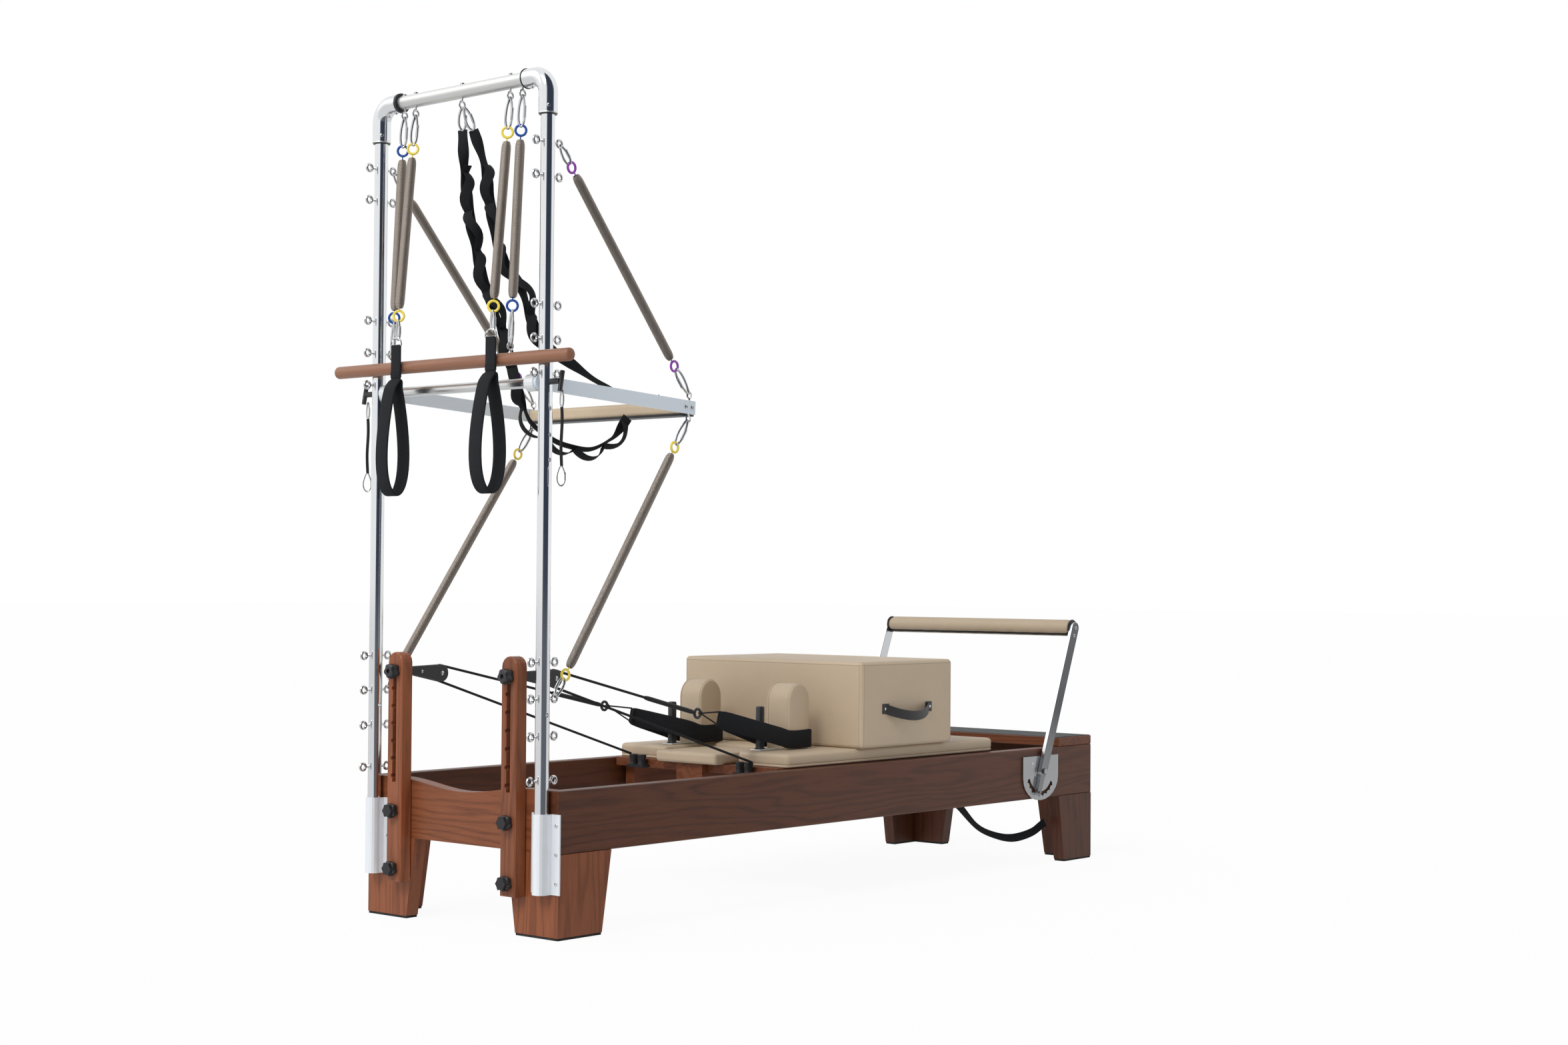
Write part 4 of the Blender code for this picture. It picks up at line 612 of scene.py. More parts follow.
def rod(start, end, radius, sides=24):
    """A round bar with its ends eased by 0.6 mm."""
    edge = 0.0006
    start = vec(start)
    length = float(np.linalg.norm(vec(end) - start))
    profile = [(0, 0), (radius - edge, 0), (radius, edge), (radius, length - edge), (radius - edge, length),
               (0, length)]
    return turn_about(profile, start, vec(end) - start, sides)


def torus(centre, axis, radius, wire, around=36, section=10):
    """A ring: centre + radius (cos t e + sin t f), swept with a circle of the wire's radius."""
    axis = unit(axis)
    e, f = around_line(axis)
    t = np.linspace(0, 2 * np.pi, around, endpoint=False)
    path = vec(centre) + radius * (np.cos(t)[:, None] * e + np.sin(t)[:, None] * f)
    return sweep(path, axis, round_section(wire, section), closed=True)


def coil(start, end, radius, wire, stretch=1.0, per_turn=11):
    """A wound spring: r(s) (cos t e + sin t f) about the line from start to end, stretch wires' widths a turn.
    r falls to tip * radius over the taper at each end, along a quarter of an ellipse."""
    taper, tip = 0.022, 0.42
    start = vec(start)
    end = vec(end)
    length = float(np.linalg.norm(end - start))
    way = unit(end - start)
    e = unit(np.cross(way, (0.31, 0.93, 0.17)))
    f = np.cross(way, e)
    turns = (length - wire) / (wire * stretch)
    t = np.linspace(0, 2 * np.pi * turns, int(turns * per_turn) + 1)
    s = wire / 2 + (length - wire) * t / t[-1]
    near_end = np.clip(np.minimum(s, length - s) / taper, 0, 1)
    swell = tip + (1 - tip) * np.sqrt(1 - (1 - near_end) ** 2)
    r = (radius - wire / 2) * swell
    path = start + s[:, None] * way + (r * np.cos(t))[:, None] * e + (r * np.sin(t))[:, None] * f
    return sweep(path, way, round_section(wire / 2, 6))


def snap_hook(start, way, length, wide_side, width=0.016, wire=CLIP_WIRE):
    """A snap hook: a closed pear-shaped loop, w(t) sin t across and half its length * cos t along, with a barrel
    on its gate. start is the inside of its narrow bow."""
    way = unit(way)
    across = unit(np.cross(way, wide_side))
    middle = vec(start) + way * (length / 2)
    t = np.linspace(0, 2 * np.pi, 40, endpoint=False)
    half = width / 2 * (0.80 - 0.24 * np.cos(t)) * np.abs(np.sin(t)) ** 0.15
    path = middle + way * (-np.cos(t) * (length / 2 - wire))[:, None] + across * (np.sin(t) * half)[:, None]
    loop = sweep(path, np.cross(way, across), round_section(wire, 8), closed=True)
    gate_low = middle + across * width * 0.40 - way * length * 0.16
    gate_high = middle + across * width * 0.40 + way * length * 0.20
    return [loop, rod(gate_low, gate_high, wire * 1.18, 10)]


def spring_ring(centre, way, coil_end, facing=(0, 1, 0)):
    """A coated end ring and its stem, which runs into the coil."""
    flat = unit(np.cross(way, facing))
    axis = np.cross(flat, unit(way))
    centre = vec(centre)
    toward = unit(vec(coil_end) - centre)
    return [torus(centre, axis, RING_R, RING_WIRE, 32, 10),
            rod(centre + toward * RING_R, vec(coil_end) + toward * 0.012, 0.0016, 10)]


def strung(kind, tag, start, way, ends, gaps, facing, hook, colour, bodies, replaces=(), clip=()):
    """A coil between its two coated rings, and the hook that it hangs by. hook is its name, side and width.
    Returns the lower ring's centre."""
    first, last = ends
    upper, lower = bodies
    made = piece(f"{kind}_coil_{tag}", [coil(first, last, COIL_R, looks().coil_wire)], "coil_steel",
                 replaces=replaces)
    if upper == lower:
        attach(made, upper)
    else:
        tuple(first)
        tuple(last)
        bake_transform(made)
    high = first - way * (RING_R + gaps[0])
    low = last + way * (RING_R + gaps[1])
    piece(f"{kind}_ring_top_{tag}", spring_ring(high, way, first, facing), colour, upper)
    reach = np.linalg.norm(high - start) - RING_R + HOOK_LAP
    piece(f"{hook[0]}_{tag}", snap_hook(start + way * 0.001, way, reach, *hook[1:]), SCREW, upper)
    piece(f"{kind}_ring_low_{tag}", spring_ring(low, way, last, facing), colour, lower, replaces=clip)
    return low


def stations(half, radius, steps, spacing):
    """Places across one face of a rounded box: even in the middle and half - r + r tan a near the edges."""
    bend = half - radius + radius * np.tan(np.linspace(0, np.pi / 4, steps + 1))
    count = max(2, int(2 * (half - radius) / spacing))
    flat = np.linspace(-(half - radius), half - radius, count + 1)
    return np.concatenate([-bend[::-1], flat[1:-1], bend])


def soft_box(low, high, radius, crown=(0, 0, 0), steps=4, spacing=0.02, waist=0.0):
    """A stuffed box. Points q of its six faces go to inner + radius * unit(q - inner), with inner the nearest
    point of the box less its radius; each face then swells by crown (1 - u^2)(1 - v^2), and the sides draw in
    by waist at half height."""
    low = vec(low)
    high = vec(high)
    half = (high - low) / 2
    middle = (high + low) / 2
    grids = []
    for axis in range(3):
        b, c = [k for k in range(3) if k != axis]
        u, v = np.meshgrid(stations(half[b], radius, steps, spacing), stations(half[c], radius, steps, spacing),
                           indexing="ij")
        for way in (-1, 1):
            q = np.zeros((*u.shape, 3))
            q[..., axis] = way * half[axis]
            q[..., b] = u
            q[..., c] = v
            inner = np.clip(q, -(half - radius), half - radius)
            p = inner + radius * unit(q - inner)
            swell = (1 - (p / half)[..., b] ** 2) * (1 - (p / half)[..., c] ** 2)
            p[..., axis] += way * crown[axis] * np.clip(swell, 0, 1)
            if waist:
                draw = waist * (1 - np.clip(np.abs(p[..., 2]) / half[2], 0, 1) ** 2)
                for k in (0, 1):
                    edge = np.clip(np.abs(p[..., k]) / half[k], 0, 1) ** 8
                    p[..., k] -= np.sign(p[..., k]) * draw * edge
            grids.append((p + middle, stack(u, v)))
    return grids


def rounded_outline(corners, radius, steps=5):
    """A closed outline with each corner an arc, and its outward normals. Corners go anticlockwise."""
    corners = vec(corners)
    before = np.roll(corners, 1, 0)
    after = np.roll(corners, -1, 0)
    come = unit(corners - before)
    leave = unit(after - corners)
    turn = come[:, 0] * leave[:, 1] - come[:, 1] * leave[:, 0]
    sign = np.sign(turn)
    radius = np.broadcast_to(radius, (len(corners),))
    angle = np.arctan2(turn, np.sum(come * leave, -1))
    back = radius * np.tan(np.abs(angle) / 2)
    first = corners - come * back[:, None]
    left = stack(-come[:, 1], come[:, 0])
    centre = first + left * (radius * sign)[:, None]
    share = np.linspace(0, 1, steps + 1)
    t = angle[:, None] * share[None]
    out = -left[:, None] * sign[:, None, None]
    spin = stack(out[..., 0] * np.cos(t) - out[..., 1] * np.sin(t),
                 out[..., 0] * np.sin(t) + out[..., 1] * np.cos(t))
    points = centre[:, None] + spin * radius[:, None, None]
    normal = spin * sign[:, None, None]
    return points.reshape(-1, 2), normal.reshape(-1, 2)


def carried(outline, normal, profile, place):
    """A profile of (inset, height) carried round an outline: place(outline - normal * inset, height).
    The rows are the profile's points. Returns the grid and the loops of its first and last rows."""
    outline = np.concatenate([outline, outline[:1]])
    normal = np.concatenate([normal, normal[:1]])
    profile = vec(profile)
    flat = outline[None] - normal[None] * profile[:, 0][:, None, None]
    points = place(flat, np.broadcast_to(profile[:, 1][:, None], flat.shape[:2]))
    uv = paired(running(outline)[None], running(profile)[:, None])
    return (points, uv), (points[0, :-1], points[-1, :-1])


def flat_xy(flat, height):
    return stack(flat[..., 0], flat[..., 1], height)


def flat_xz(flat, height):
    return stack(flat[..., 0], height, flat[..., 1])


def moved(grids, places, turns=None):
    """Copies of grids at many places; turns are 3 x 3 matrices, one each."""
    made = []
    for points, uv in grids:
        for i, place in enumerate(places):
            turned = points if turns is None else points @ np.asarray(turns[i]).T
            made.append((turned + np.asarray(place), uv))
    return made


def piece(name, grids, look, body=None, lids=(), replaces=()):
    """One mesh from grids: quads between rows and columns, lids as single faces, meeting points merged, and
    faces turned outwards."""
    points = []
    corners = []
    sizes = []
    maps = []
    start = 0
    for p, uv in grids:
        rows, columns = p.shape[:2]
        i, j = np.meshgrid(np.arange(rows - 1), np.arange(columns - 1), indexing="ij")
        k = i * columns + j
        quad = stack(k, k + 1, k + columns + 1, k + columns).reshape(-1)
        points.append(p.reshape(-1, 3))
        corners.append(quad + start)
        sizes.append(np.full(len(quad) // 4, 4))
        maps.append(uv.reshape(-1, 2)[quad])
        start += rows * columns
    for lid in lids:
        points.append(lid)
        corners.append(np.arange(len(lid)) + start)
        sizes.append(np.array([len(lid)]))
        maps.append(lid[:, :2])
        start += len(lid)
    points = np.concatenate(points)
    corners = np.concatenate(corners)
    sizes = np.concatenate(sizes)
    maps = np.concatenate(maps)
    mesh = bpy.data.meshes.new(name)
    mesh.vertices.add(len(points))
    mesh.vertices.foreach_set("co", points.astype(np.float32).ravel())
    mesh.loops.add(len(corners))
    mesh.loops.foreach_set("vertex_index", corners.astype(np.int32))
    mesh.polygons.add(len(sizes))
    mesh.polygons.foreach_set("loop_start", np.concatenate([[0], np.cumsum(sizes)[:-1]]).astype(np.int32))
    mesh.update(calc_edges=True)
    mesh.uv_layers.new(name="weave")
    mesh.uv_layers["weave"].data.foreach_set("uv", maps.astype(np.float32).ravel())
    bm = bmesh.new()
    bm.from_mesh(mesh)
    bmesh.ops.remove_doubles(bm, verts=bm.verts, dist=2e-6)
    bmesh.ops.dissolve_degenerate(bm, edges=bm.edges, dist=1e-7)
    bm.normal_update()
    bmesh.ops.recalc_face_normals(bm, faces=bm.faces)
    bm.to_mesh(mesh)
    bm.free()
    mesh.shade_smooth()
    mesh.set_sharp_from_angle(angle=SHARP)
    made = bpy.data.objects.new(name, mesh)
    bpy.context.scene.collection.objects.link(made)
    mesh.materials.append(finish(look) if isinstance(look, str) else look)
    if body:
        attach(made, body)
    if replaces:
        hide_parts(*replaces)
    return made


def bored(made, cutter_grids):
    """Cuts holes in a piece: a Boolean with closed shapes, applied."""
    cutter = piece("cutter", cutter_grids, "steel_satin")
    step = made.modifiers.new("holes", "BOOLEAN")
    step.operation = "DIFFERENCE"
    step.solver = "EXACT"
    step.object = cutter
    bpy.context.view_layer.update()
    view = made.evaluated_get(bpy.context.evaluated_depsgraph_get())
    mesh = bpy.data.meshes.new_from_object(view)
    made.modifiers.clear()
    made.data = mesh
    mesh.set_sharp_from_angle(angle=SHARP)
    bpy.data.objects.remove(cutter, do_unlink=True)
    return made


def from_head(points):
    """Points whose x is counted from the bed's head end, in the frame's own x."""
    return [(HEAD_X + x, y, z) for x, y, z in points]


def smooth_route(points, count):
    """A Catmull-Rom curve through the points, at evenly spaced distances."""
    p = vec(points)
    p = np.concatenate([[2 * p[0] - p[1]], p, [2 * p[-1] - p[-2]]])
    t = np.linspace(0, 1, 25)[:-1, None]
    a, b, c, d = p[:-3, None], p[1:-2, None], p[2:-1, None], p[3:, None]
    fine = 0.5 * (2 * b + (c - a) * t + (2 * a - 5 * b + 4 * c - d) * t ** 2 + (3 * b - a - 3 * c + d) * t ** 3)
    fine = np.concatenate([fine.reshape(-1, 3), p[-2:-1]])
    s = running(fine)
    even = np.linspace(0, s[-1], count)
    return stack(*(np.interp(even, s, fine[:, k]) for k in range(3)))


# Operators

class REFORMER_OT_stage(bpy.types.Operator):
    """Floor, soft studio light and the camera"""

    bl_idname = "reformer.stage"
    bl_label = "Stage"

    def execute(self, context):
        scene = context.scene
        scene.view_settings.view_transform = "Standard"
        self.camera(scene)
        self.floor()
        self.world(scene)
        self.lamp("key", (-0.95, -0.12, 0.95), 1.55, 24)
        self.lamp("fill", (-0.60, 0.70, 0.60), 0.30, 40)
        return {"FINISHED"}

    def camera(self, scene):
        """Its place and aim were solved from points of the object: yaw 40.44, pitch 1.42, roll 0.398 degrees."""
        yaw, pitch, roll = (math.radians(a) for a in (40.44, 1.42, 0.398))
        ahead = Vector((math.cos(yaw) * math.cos(pitch), math.sin(yaw) * math.cos(pitch), math.sin(pitch)))
        right = Vector((math.sin(yaw), -math.cos(yaw), 0.0))
        up = right.cross(ahead)
        side = right * math.cos(roll) + up * math.sin(roll)
        top = up * math.cos(roll) - right * math.sin(roll)
        data = bpy.data.cameras.new("camera")
        data.sensor_width = 36.0
        data.lens = FOCAL_LENGTH * 36.0
        data.clip_end = 100.0
        camera = bpy.data.objects.new("camera", data)
        turn = Matrix((side, top, -ahead)).transposed().to_4x4()
        camera.matrix_world = Matrix.Translation((HEAD_X - 4.0035, -4.4987, 0.8963)) @ turn
        scene.collection.objects.link(camera)
        scene.camera = camera

    def floor(self):
        """White to the camera, and in reflections the same bright room and dark side as the world."""
        t = np.linspace(-60, 60, 3)
        x, y = np.meshgrid(t, t, indexing="ij")
        f = Finish("floor", roughness=0.9)
        cloud = f.noise(0.6, 3.0)
        f.put("Base Color", f.mix(cloud, tinted(looks().floor, 0.985), tinted(looks().floor, 1.0)))
        white, bright, navy = (f.node("ShaderNodeEmission", None, {"Color": colour, "Strength": 1.0})["Emission"]
                               for colour in ((1.0, 1.0, 1.0), (0.72, 0.73, 0.74), (0.045, 0.055, 0.080)))
        east, north, _ = f.axes()
        turn = east.math("ARCTAN2", north + TUBE_Y, east - TUBE_X)

        def mixed(share, first, second):
            return f.node("ShaderNodeMixShader", None, {0: share, 1: first, 2: second})["Shader"]

        dim = mixed(turn.above(*DARK_SIDE[0]) - turn.above(*DARK_SIDE[1]), bright, navy)
        rays = f.node("ShaderNodeLightPath")
        lit = Wire(f, f.shader.outputs[0])
        mirrored = mixed(rays["Is Glossy Ray"] * 0.9, mixed(rays["Is Camera Ray"] * 0.94, lit, white), dim)
        out = next(n for n in f.tree.nodes if n.type == "OUTPUT_MATERIAL")
        f.tree.links.new(mirrored.socket, out.inputs[0])
        made = piece("floor", [(stack(x, y, 0 * x - 0.0005), stack(x, y))], f.material)
        if made.data.polygons[0].normal.z < 0:
            made.data.flip_normals()

    def world(self, scene):
        """White to the camera, an even light on surfaces, and for reflections a bright room with a dark side
        that draws the lines along the tubes."""
        world = bpy.data.worlds.new("studio")
        world.use_nodes = True
        scene.world = world
        t = Tree(world.node_tree)
        out = t.tree.nodes.new("ShaderNodeOutputWorld")
        to = t.node("ShaderNodeTexCoord")["Generated"]
        parts = t.node("ShaderNodeSeparateXYZ", None, {"Vector": to})
        x, y = parts["X"], parts["Y"]
        turn = x.math("ARCTAN2", y, x)
        rays = t.node("ShaderNodeLightPath")
        dark = turn.above(*DARK_SIDE[0]) - turn.above(*DARK_SIDE[1])
        shiny = t.mix(dark, (0.92, 0.93, 0.94), (0.035, 0.045, 0.070))
        soft = t.mix(x * -0.5 + y * 0.35 + 0.5, (0.30, 0.305, 0.315), (0.72, 0.725, 0.735))
        lit = t.mix(rays["Is Glossy Ray"], soft, shiny)
        seen = t.mix(rays["Is Camera Ray"], lit, (1.0, 1.0, 1.0))
        back = t.node("ShaderNodeBackground", None, {"Color": seen, "Strength": 1.0})["Background"]
        t.tree.links.new(back.socket, out.inputs[0])

    def lamp(self, name, way, strength, spread):
        data = bpy.data.lights.new(name, "SUN")
        data.energy = strength
        data.angle = math.radians(spread)
        lamp = bpy.data.objects.new(name, data)
        lamp.rotation_euler = Vector(way).to_track_quat("Z", "Y").to_euler()
        bpy.context.scene.collection.objects.link(lamp)


class REFORMER_OT_timber(bpy.types.Operator):
    """Stained oak of the bed, the legs, the posts and the carriage board"""

    bl_idname = "reformer.timber"
    bl_label = "Timber"

    def execute(self, context):
        shade = 1.0 - looks().rail_painted_shade

        def dots(f):
            """The fine dots of the platform's charcoal non-slip sheet."""
            cells = f.node("ShaderNodeTexVoronoi", None, {"Vector": f.place, "Scale": 380.0})["Distance"]
            return f.mix(cells, (0.050, 0.052, 0.053), (0.085, 0.088, 0.088))

        black = (0.02, 0.02, 0.022)
        tracks = patch(lambda x, y, z: 1 - abs(y).above(0.3222, 0.0003), (0.6, 0.61, 0.62), metallic=0.9)
        foot_pad = patch(lambda x, y, z: 1 - z.above(0.0062, 0.0003), (0.018, 0.018, 0.018), 0.3)
        grip_sheet = patch(lambda x, y, z: z.above(0.3974, 0.0003), dots, 0.35)
        post_knobs = patch(lambda x, y, z: 1 - x.above(HEAD_X - 0.0381, 0.0002), black, 0.05)
        cleats = patch(lambda x, y, z: (1 - x.above(HEAD_X + 0.8848, 0.0003)) * abs(y).above(0.12, 0.001),
                       black, 0.05)
        # Painted shade and light: the rails, legs, posts, boards, platform and carriage are copies of one oak, scaled
        # darker where they stand in shade and the far post lighter where it is lit
        rail = oak("oak_rail", 0, shade, tracks)
        foot_leg = oak("oak_leg_foot", 2, 0.36, foot_pad)
        leg = oak("oak_leg", 2, 0.92, foot_pad)
        for side in SIDES:
            dress(f"side_rail_{side}", rail)
            dress(f"leg_head_{side}", leg)
            dress(f"leg_foot_{side}", foot_leg)
            dress(f"riser_post_{side}", oak("oak_post_" + side, 2, 1.12 if side == "far" else 0.92, post_knobs))
        dress("head_board", oak("oak_head_board", 1, 0.82))
        dress("foot_board", oak("oak_foot_board", 1, 0.45))
        dress("standing_platform", oak("oak_platform", 1, 0.6, grip_sheet))
        dress("carriage_base", oak("oak_carriage", 0, 0.66, cleats))
        return {"FINISHED"}


class REFORMER_OT_tower(bpy.types.Operator):
    """Steel tubes with their eyebolts, the crossbar with its elbows, and the brackets"""

    bl_idname = "reformer.tower"
    bl_label = "Tower"

    def execute(self, context):
        for name, side in SIDES.items():
            self.upright(name, side)
            self.bracket(name, side)
            self.leash(name, side)
        self.crossbar()
        return {"FINISHED"}

    def eyebolt(self):
        """An eye whose shank runs along +x from its tube: ring, shank and nut."""
        return [torus((EYE_REACH, 0, 0), (0, 1, 0), EYE_RADIUS, 0.0035, 28, 9),
                rod((TUBE_R - 0.004, 0, 0), (EYE_REACH - EYE_RADIUS + 0.001, 0, 0), 0.0028, 12),
                turn_about([(0, 0), (0.0056, 0), (0.0056, 0.0022), (0.0040, 0.0034), (0, 0.0034)],
                           (TUBE_R - 0.0012, 0, 0), (1, 0, 0), 6)]

    def upright(self, name, side):
        y = side * TUBE_Y
        tube = [turn_about([(0, 0), (TUBE_R - 0.001, 0), (TUBE_R, 0.001), (TUBE_R, 0.5), (TUBE_R, 1.2),
                            (TUBE_R, 1.939), (TUBE_R - 0.001, 1.9397), (0, 1.9397)],
                           (TUBE_X, y, TUBE_FOOT), (0, 0, 1), 64)]
        made = piece(f"tower_upright_{name}", tube, "steel_bright", "frame")
        holes = [rod((TUBE_X, y - 0.03, z), (TUBE_X, y + 0.03, z), 0.0052, 20) for z in HOLE_LEVELS]
        bored(made, holes)
        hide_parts(f"tower_tube_{name}")
        forward = np.eye(3)
        backward = np.diag([-1.0, -1.0, 1.0])
        places = [(TUBE_X, y, z) for z in EYE_LEVELS for _ in (0, 1)]
        turns = [m for _ in EYE_LEVELS for m in (forward, backward)]
        piece(f"tower_eyes_{name}", moved(self.eyebolt(), places, turns), SCREW, "frame")

    def crossbar(self):
        end = TUBE_Y - ELBOW_BEND
        bar = [rod((TUBE_X, -end - 0.01, CROSSBAR_Z), (TUBE_X, end + 0.01, CROSSBAR_Z), TUBE_R, 64)]
        piece("tower_top_bar", bar, "steel_satin", "frame", replaces=("tower_crossbar",))
        for name, side in SIDES.items():
            t = np.linspace(0, np.pi / 2, 13)
            bend = 0.046
            arc = stack(0 * t + TUBE_X, side * (TUBE_Y - bend * (1 - np.cos(t))),
                        CROSSBAR_Z - bend * (1 - np.sin(t)))
            path = np.concatenate([[(TUBE_X, side * TUBE_Y, ELBOW_MOUTH)], arc,
                                   [(TUBE_X, side * (end - 0.006), CROSSBAR_Z)]])
            piece(f"tower_elbow_{name}", [sweep(path, (1, 0, 0), round_section(TUBE_R + 0.0064, 48))],
                  "steel_bright", "frame")
            low = np.array((TUBE_X, side * TUBE_Y, ELBOW_MOUTH))
            inner = np.array((TUBE_X, side * (end - 0.006), CROSSBAR_Z))
            lips = [turn_about([(0, 0), (TUBE_R + 0.0060, 0), (TUBE_R + 0.0068, 0.001), (TUBE_R + 0.0068, 0.0024),
                                (TUBE_R + 0.0064, 0.0030), (0, 0.0030)], low - (0, 0, 0.0003), (0, 0, 1), 48)]
            # Painted shadow: a black ring just under the lip stands for the shade in the gap below the elbow's mouth
            shade = turn_about([(0, 0), (TUBE_R + 0.0048, 0), (TUBE_R + 0.0048, 0.0022), (0, 0.0022)],
                               low - (0, 0, 0.0024), (0, 0, 1), 48)
            piece(f"tower_elbow_gap_shadow_{name}", [shade], "black_plastic", "frame")
            piece(f"tower_elbow_lip_{name}", lips, "steel_satin", "frame")
            deep = 0.0085 if side > 0 else 0.003
            collar = turn_about([(0, 0), (TUBE_R + 0.0074, 0), (TUBE_R + 0.0082, 0.001),
                                 (TUBE_R + 0.0082, deep - 0.001), (TUBE_R + 0.0074, deep), (0, deep)],
                                inner + (0, side * 0.001, 0), (0, -side, 0), 48)
            piece(f"tower_collar_{name}", [collar], "black_plastic", "frame")
            screws = [turn_about([(0, 0), (0.0052, 0), (0.0048, 0.0022), (0.0026, 0.0030), (0.0024, 0.0012),
                                  (0, 0.0012)],
                                 (TUBE_X - (TUBE_R + 0.0060) * 0.62, side * TUBE_Y - (TUBE_R + 0.0060) * 0.78,
                                  ELBOW_MOUTH + 0.018), (-0.62, -0.78, 0), 20),
                      turn_about([(0, 0), (0.0042, 0), (0.0040, 0.0030), (0, 0.0034)],
                                 (TUBE_X, side * (end + 0.012), CROSSBAR_Z - TUBE_R - 0.0060), (0, 0, -1), 16)]
            piece(f"tower_elbow_screws_{name}", screws, SCREW, "frame")
        down = np.array([[0.0, 0.0, 1.0], [0.0, 1.0, 0.0], [-1.0, 0.0, 0.0]])
        ys = (-OUTER_SPRING_Y, -INNER_SPRING_Y, 0.0, INNER_SPRING_Y, OUTER_SPRING_Y)
        eye = [torus((CROSSBAR_Z - CROSS_EYE_Z, 0, 0), (0, 1, 0), EYE_RADIUS, 0.0030, 28, 9),
               rod((TUBE_R - 0.004, 0, 0), (CROSSBAR_Z - CROSS_EYE_Z - EYE_RADIUS + 0.001, 0, 0), 0.0028, 12),
               turn_about([(0, 0), (0.0062, 0), (0.0062, 0.0036), (0.0042, 0.0050), (0, 0.0050)],
                          (-TUBE_R + 0.0008, 0, 0), (-1, 0, 0), 6),
               turn_about([(0, 0), (0.0026, 0), (0.0022, 0.0008), (0, 0.0008)], (-TUBE_R - 0.0042, 0, 0),
                          (-1, 0, 0), 12)]
        places = [(TUBE_X, y, CROSSBAR_Z) for y in ys]
        piece("tower_bar_eyes", moved(eye, places, [down] * 5), SCREW, "frame")

    def bracket(self, name, side):
        dress(f"tower_bracket_{name}", "aluminium")
        head = [turn_about([(0, 0), (0.0048, 0), (0.0044, 0.0018), (0.0024, 0.0026), (0.0022, 0.0010), (0, 0.0010)],
                           (0, 0, 0), (-1, 0, 0), 20)]
        low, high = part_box(f"tower_bracket_{name}")
        tall = high.z - low.z
        places = [(HEAD_X - 0.0042, side * TUBE_Y + way * 0.0385, low.z + tall * share)
                  for way in (-1, 1) for share in (0.14, 0.5, 0.86)]
        piece(f"bracket_screws_{name}", moved(head, places), SCREW, "frame")

    def leash(self, name, side):
        """A short sleeved cord with a snap hook at each end, hung from the lever of the spring pin."""
        x, y, top = HEAD_X - 0.012, side * 0.372, 1.366
        hooks = snap_hook((x, y, top), (0, 0, -1), 0.048, (1, 0, 0), 0.014, 0.0022)
        hooks += snap_hook((x, y, top - 0.189), (0, 0, -1), 0.054, (0.4, 1, 0), 0.026, 0.0020)
        piece(f"leash_hooks_{name}", hooks, SCREW, "frame")
        s = np.linspace(0, 1, 18)
        line = stack(x + 0.0015 * np.sin(7 * s), y + 0 * s, top - 0.046 - 0.146 * s)
        sleeve = piece(f"leash_cord_{name}", [sweep(line, (0, 1, 0), round_section(0.0040, 12))], "rope", "frame")
        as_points(line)


class REFORMER_OT_ropes(bpy.types.Operator):
    """Pulleys, knobs and the pull ropes with their sleeves and rings"""

    bl_idname = "reformer.ropes"
    bl_label = "Ropes and pulleys"

    def execute(self, context):
        for name, side in SIDES.items():
            for node in ("pulley_sheave", "pull_pin"):
                dress(f"{node}_{name}", "black_plastic")
            self.pulley(name, side)
            self.knobs(name, side)
            self.rope(name, side)
        return {"FINISHED"}

    def pulley(self, name, side):
        """Two cheeks that taper from the sheave to the post, the block between them, and the axle's heads."""
        y = side * POST_Y
        hub = (PULLEY[0], PULLEY[1], 0.0228)
        tip = (HEAD_X + 0.014, 0.650, 0.0105)
        neck = (HEAD_X + 0.070, 0.6455, 0.0125)
        grids = []
        lids = []
        for low, high in ((-0.0108, -0.0068), (0.0068, 0.0108)):
            grid, ends = plate(*hull_outline(tip, hub), y + low, y + high)
            grids.append(grid)
            lids += ends
        grid, ends = plate(*hull_outline(tip, neck), y - 0.0069, y + 0.0069)
        grids.append(grid)
        lids += ends
        piece(f"pulley_housing_{name}", grids, "black_plastic", "frame", lids=lids,
              replaces=(f"pulley_block_{name}",))
        head = [(0, 0), (0.0062, 0), (0.0058, 0.0018), (0.0030, 0.0030), (0.0028, 0.0014), (0, 0.0014)]
        heads = [turn_about(head, (PULLEY[0], y + way * 0.0106, PULLEY[1]), (0, way, 0), 20) for way in (-1, 1)]
        heads += [turn_about([(r * 0.7, d * 0.8) for r, d in head], (HEAD_X + 0.045, y + way * 0.0106, 0.6475),
                             (0, way, 0), 16) for way in (-1, 1)]
        piece(f"pulley_bolts_{name}", heads, SCREW, "frame")

    def knobs(self, name, side):
        """Star knobs: the turning one of the pulley, and the two that clamp the post below it."""
        low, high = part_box(f"height_knob_{name}")
        deep = high.x - low.x
        r = 0.0184
        profile = [(0, 0), (r * 0.52, 0), (r * 0.56, deep * 0.30), (r * 0.86, deep * 0.38), (r, deep * 0.52),
                   (r, deep * 0.84), (r * 0.92, deep * 0.97), (r * 0.80, deep), (r * 0.34, deep),
                   (r * 0.30, deep * 0.90), (0, deep * 0.90)]
        centre = (high.x, side * POST_Y, (low.z + high.z) / 2)
        piece(f"star_knob_{name}", [star_knob(profile, centre)], "black_plastic", f"knob_{name}",
              replaces=(f"height_knob_{name}",))
        deep = 0.0155
        profile = [(0, 0), (r * 0.90, 0), (r * 0.98, deep * 0.10), (r, deep * 0.86), (r * 0.90, deep * 0.98),
                   (r * 0.80, deep), (r * 0.34, deep), (r * 0.30, deep * 0.93), (0, deep * 0.93)]
        clamps = [star_knob(profile, (HEAD_X - 0.0383, side * POST_Y, z)) for z in (0.285, 0.134)]
        piece(f"clamp_knobs_{name}", clamps, "black_plastic", "frame")

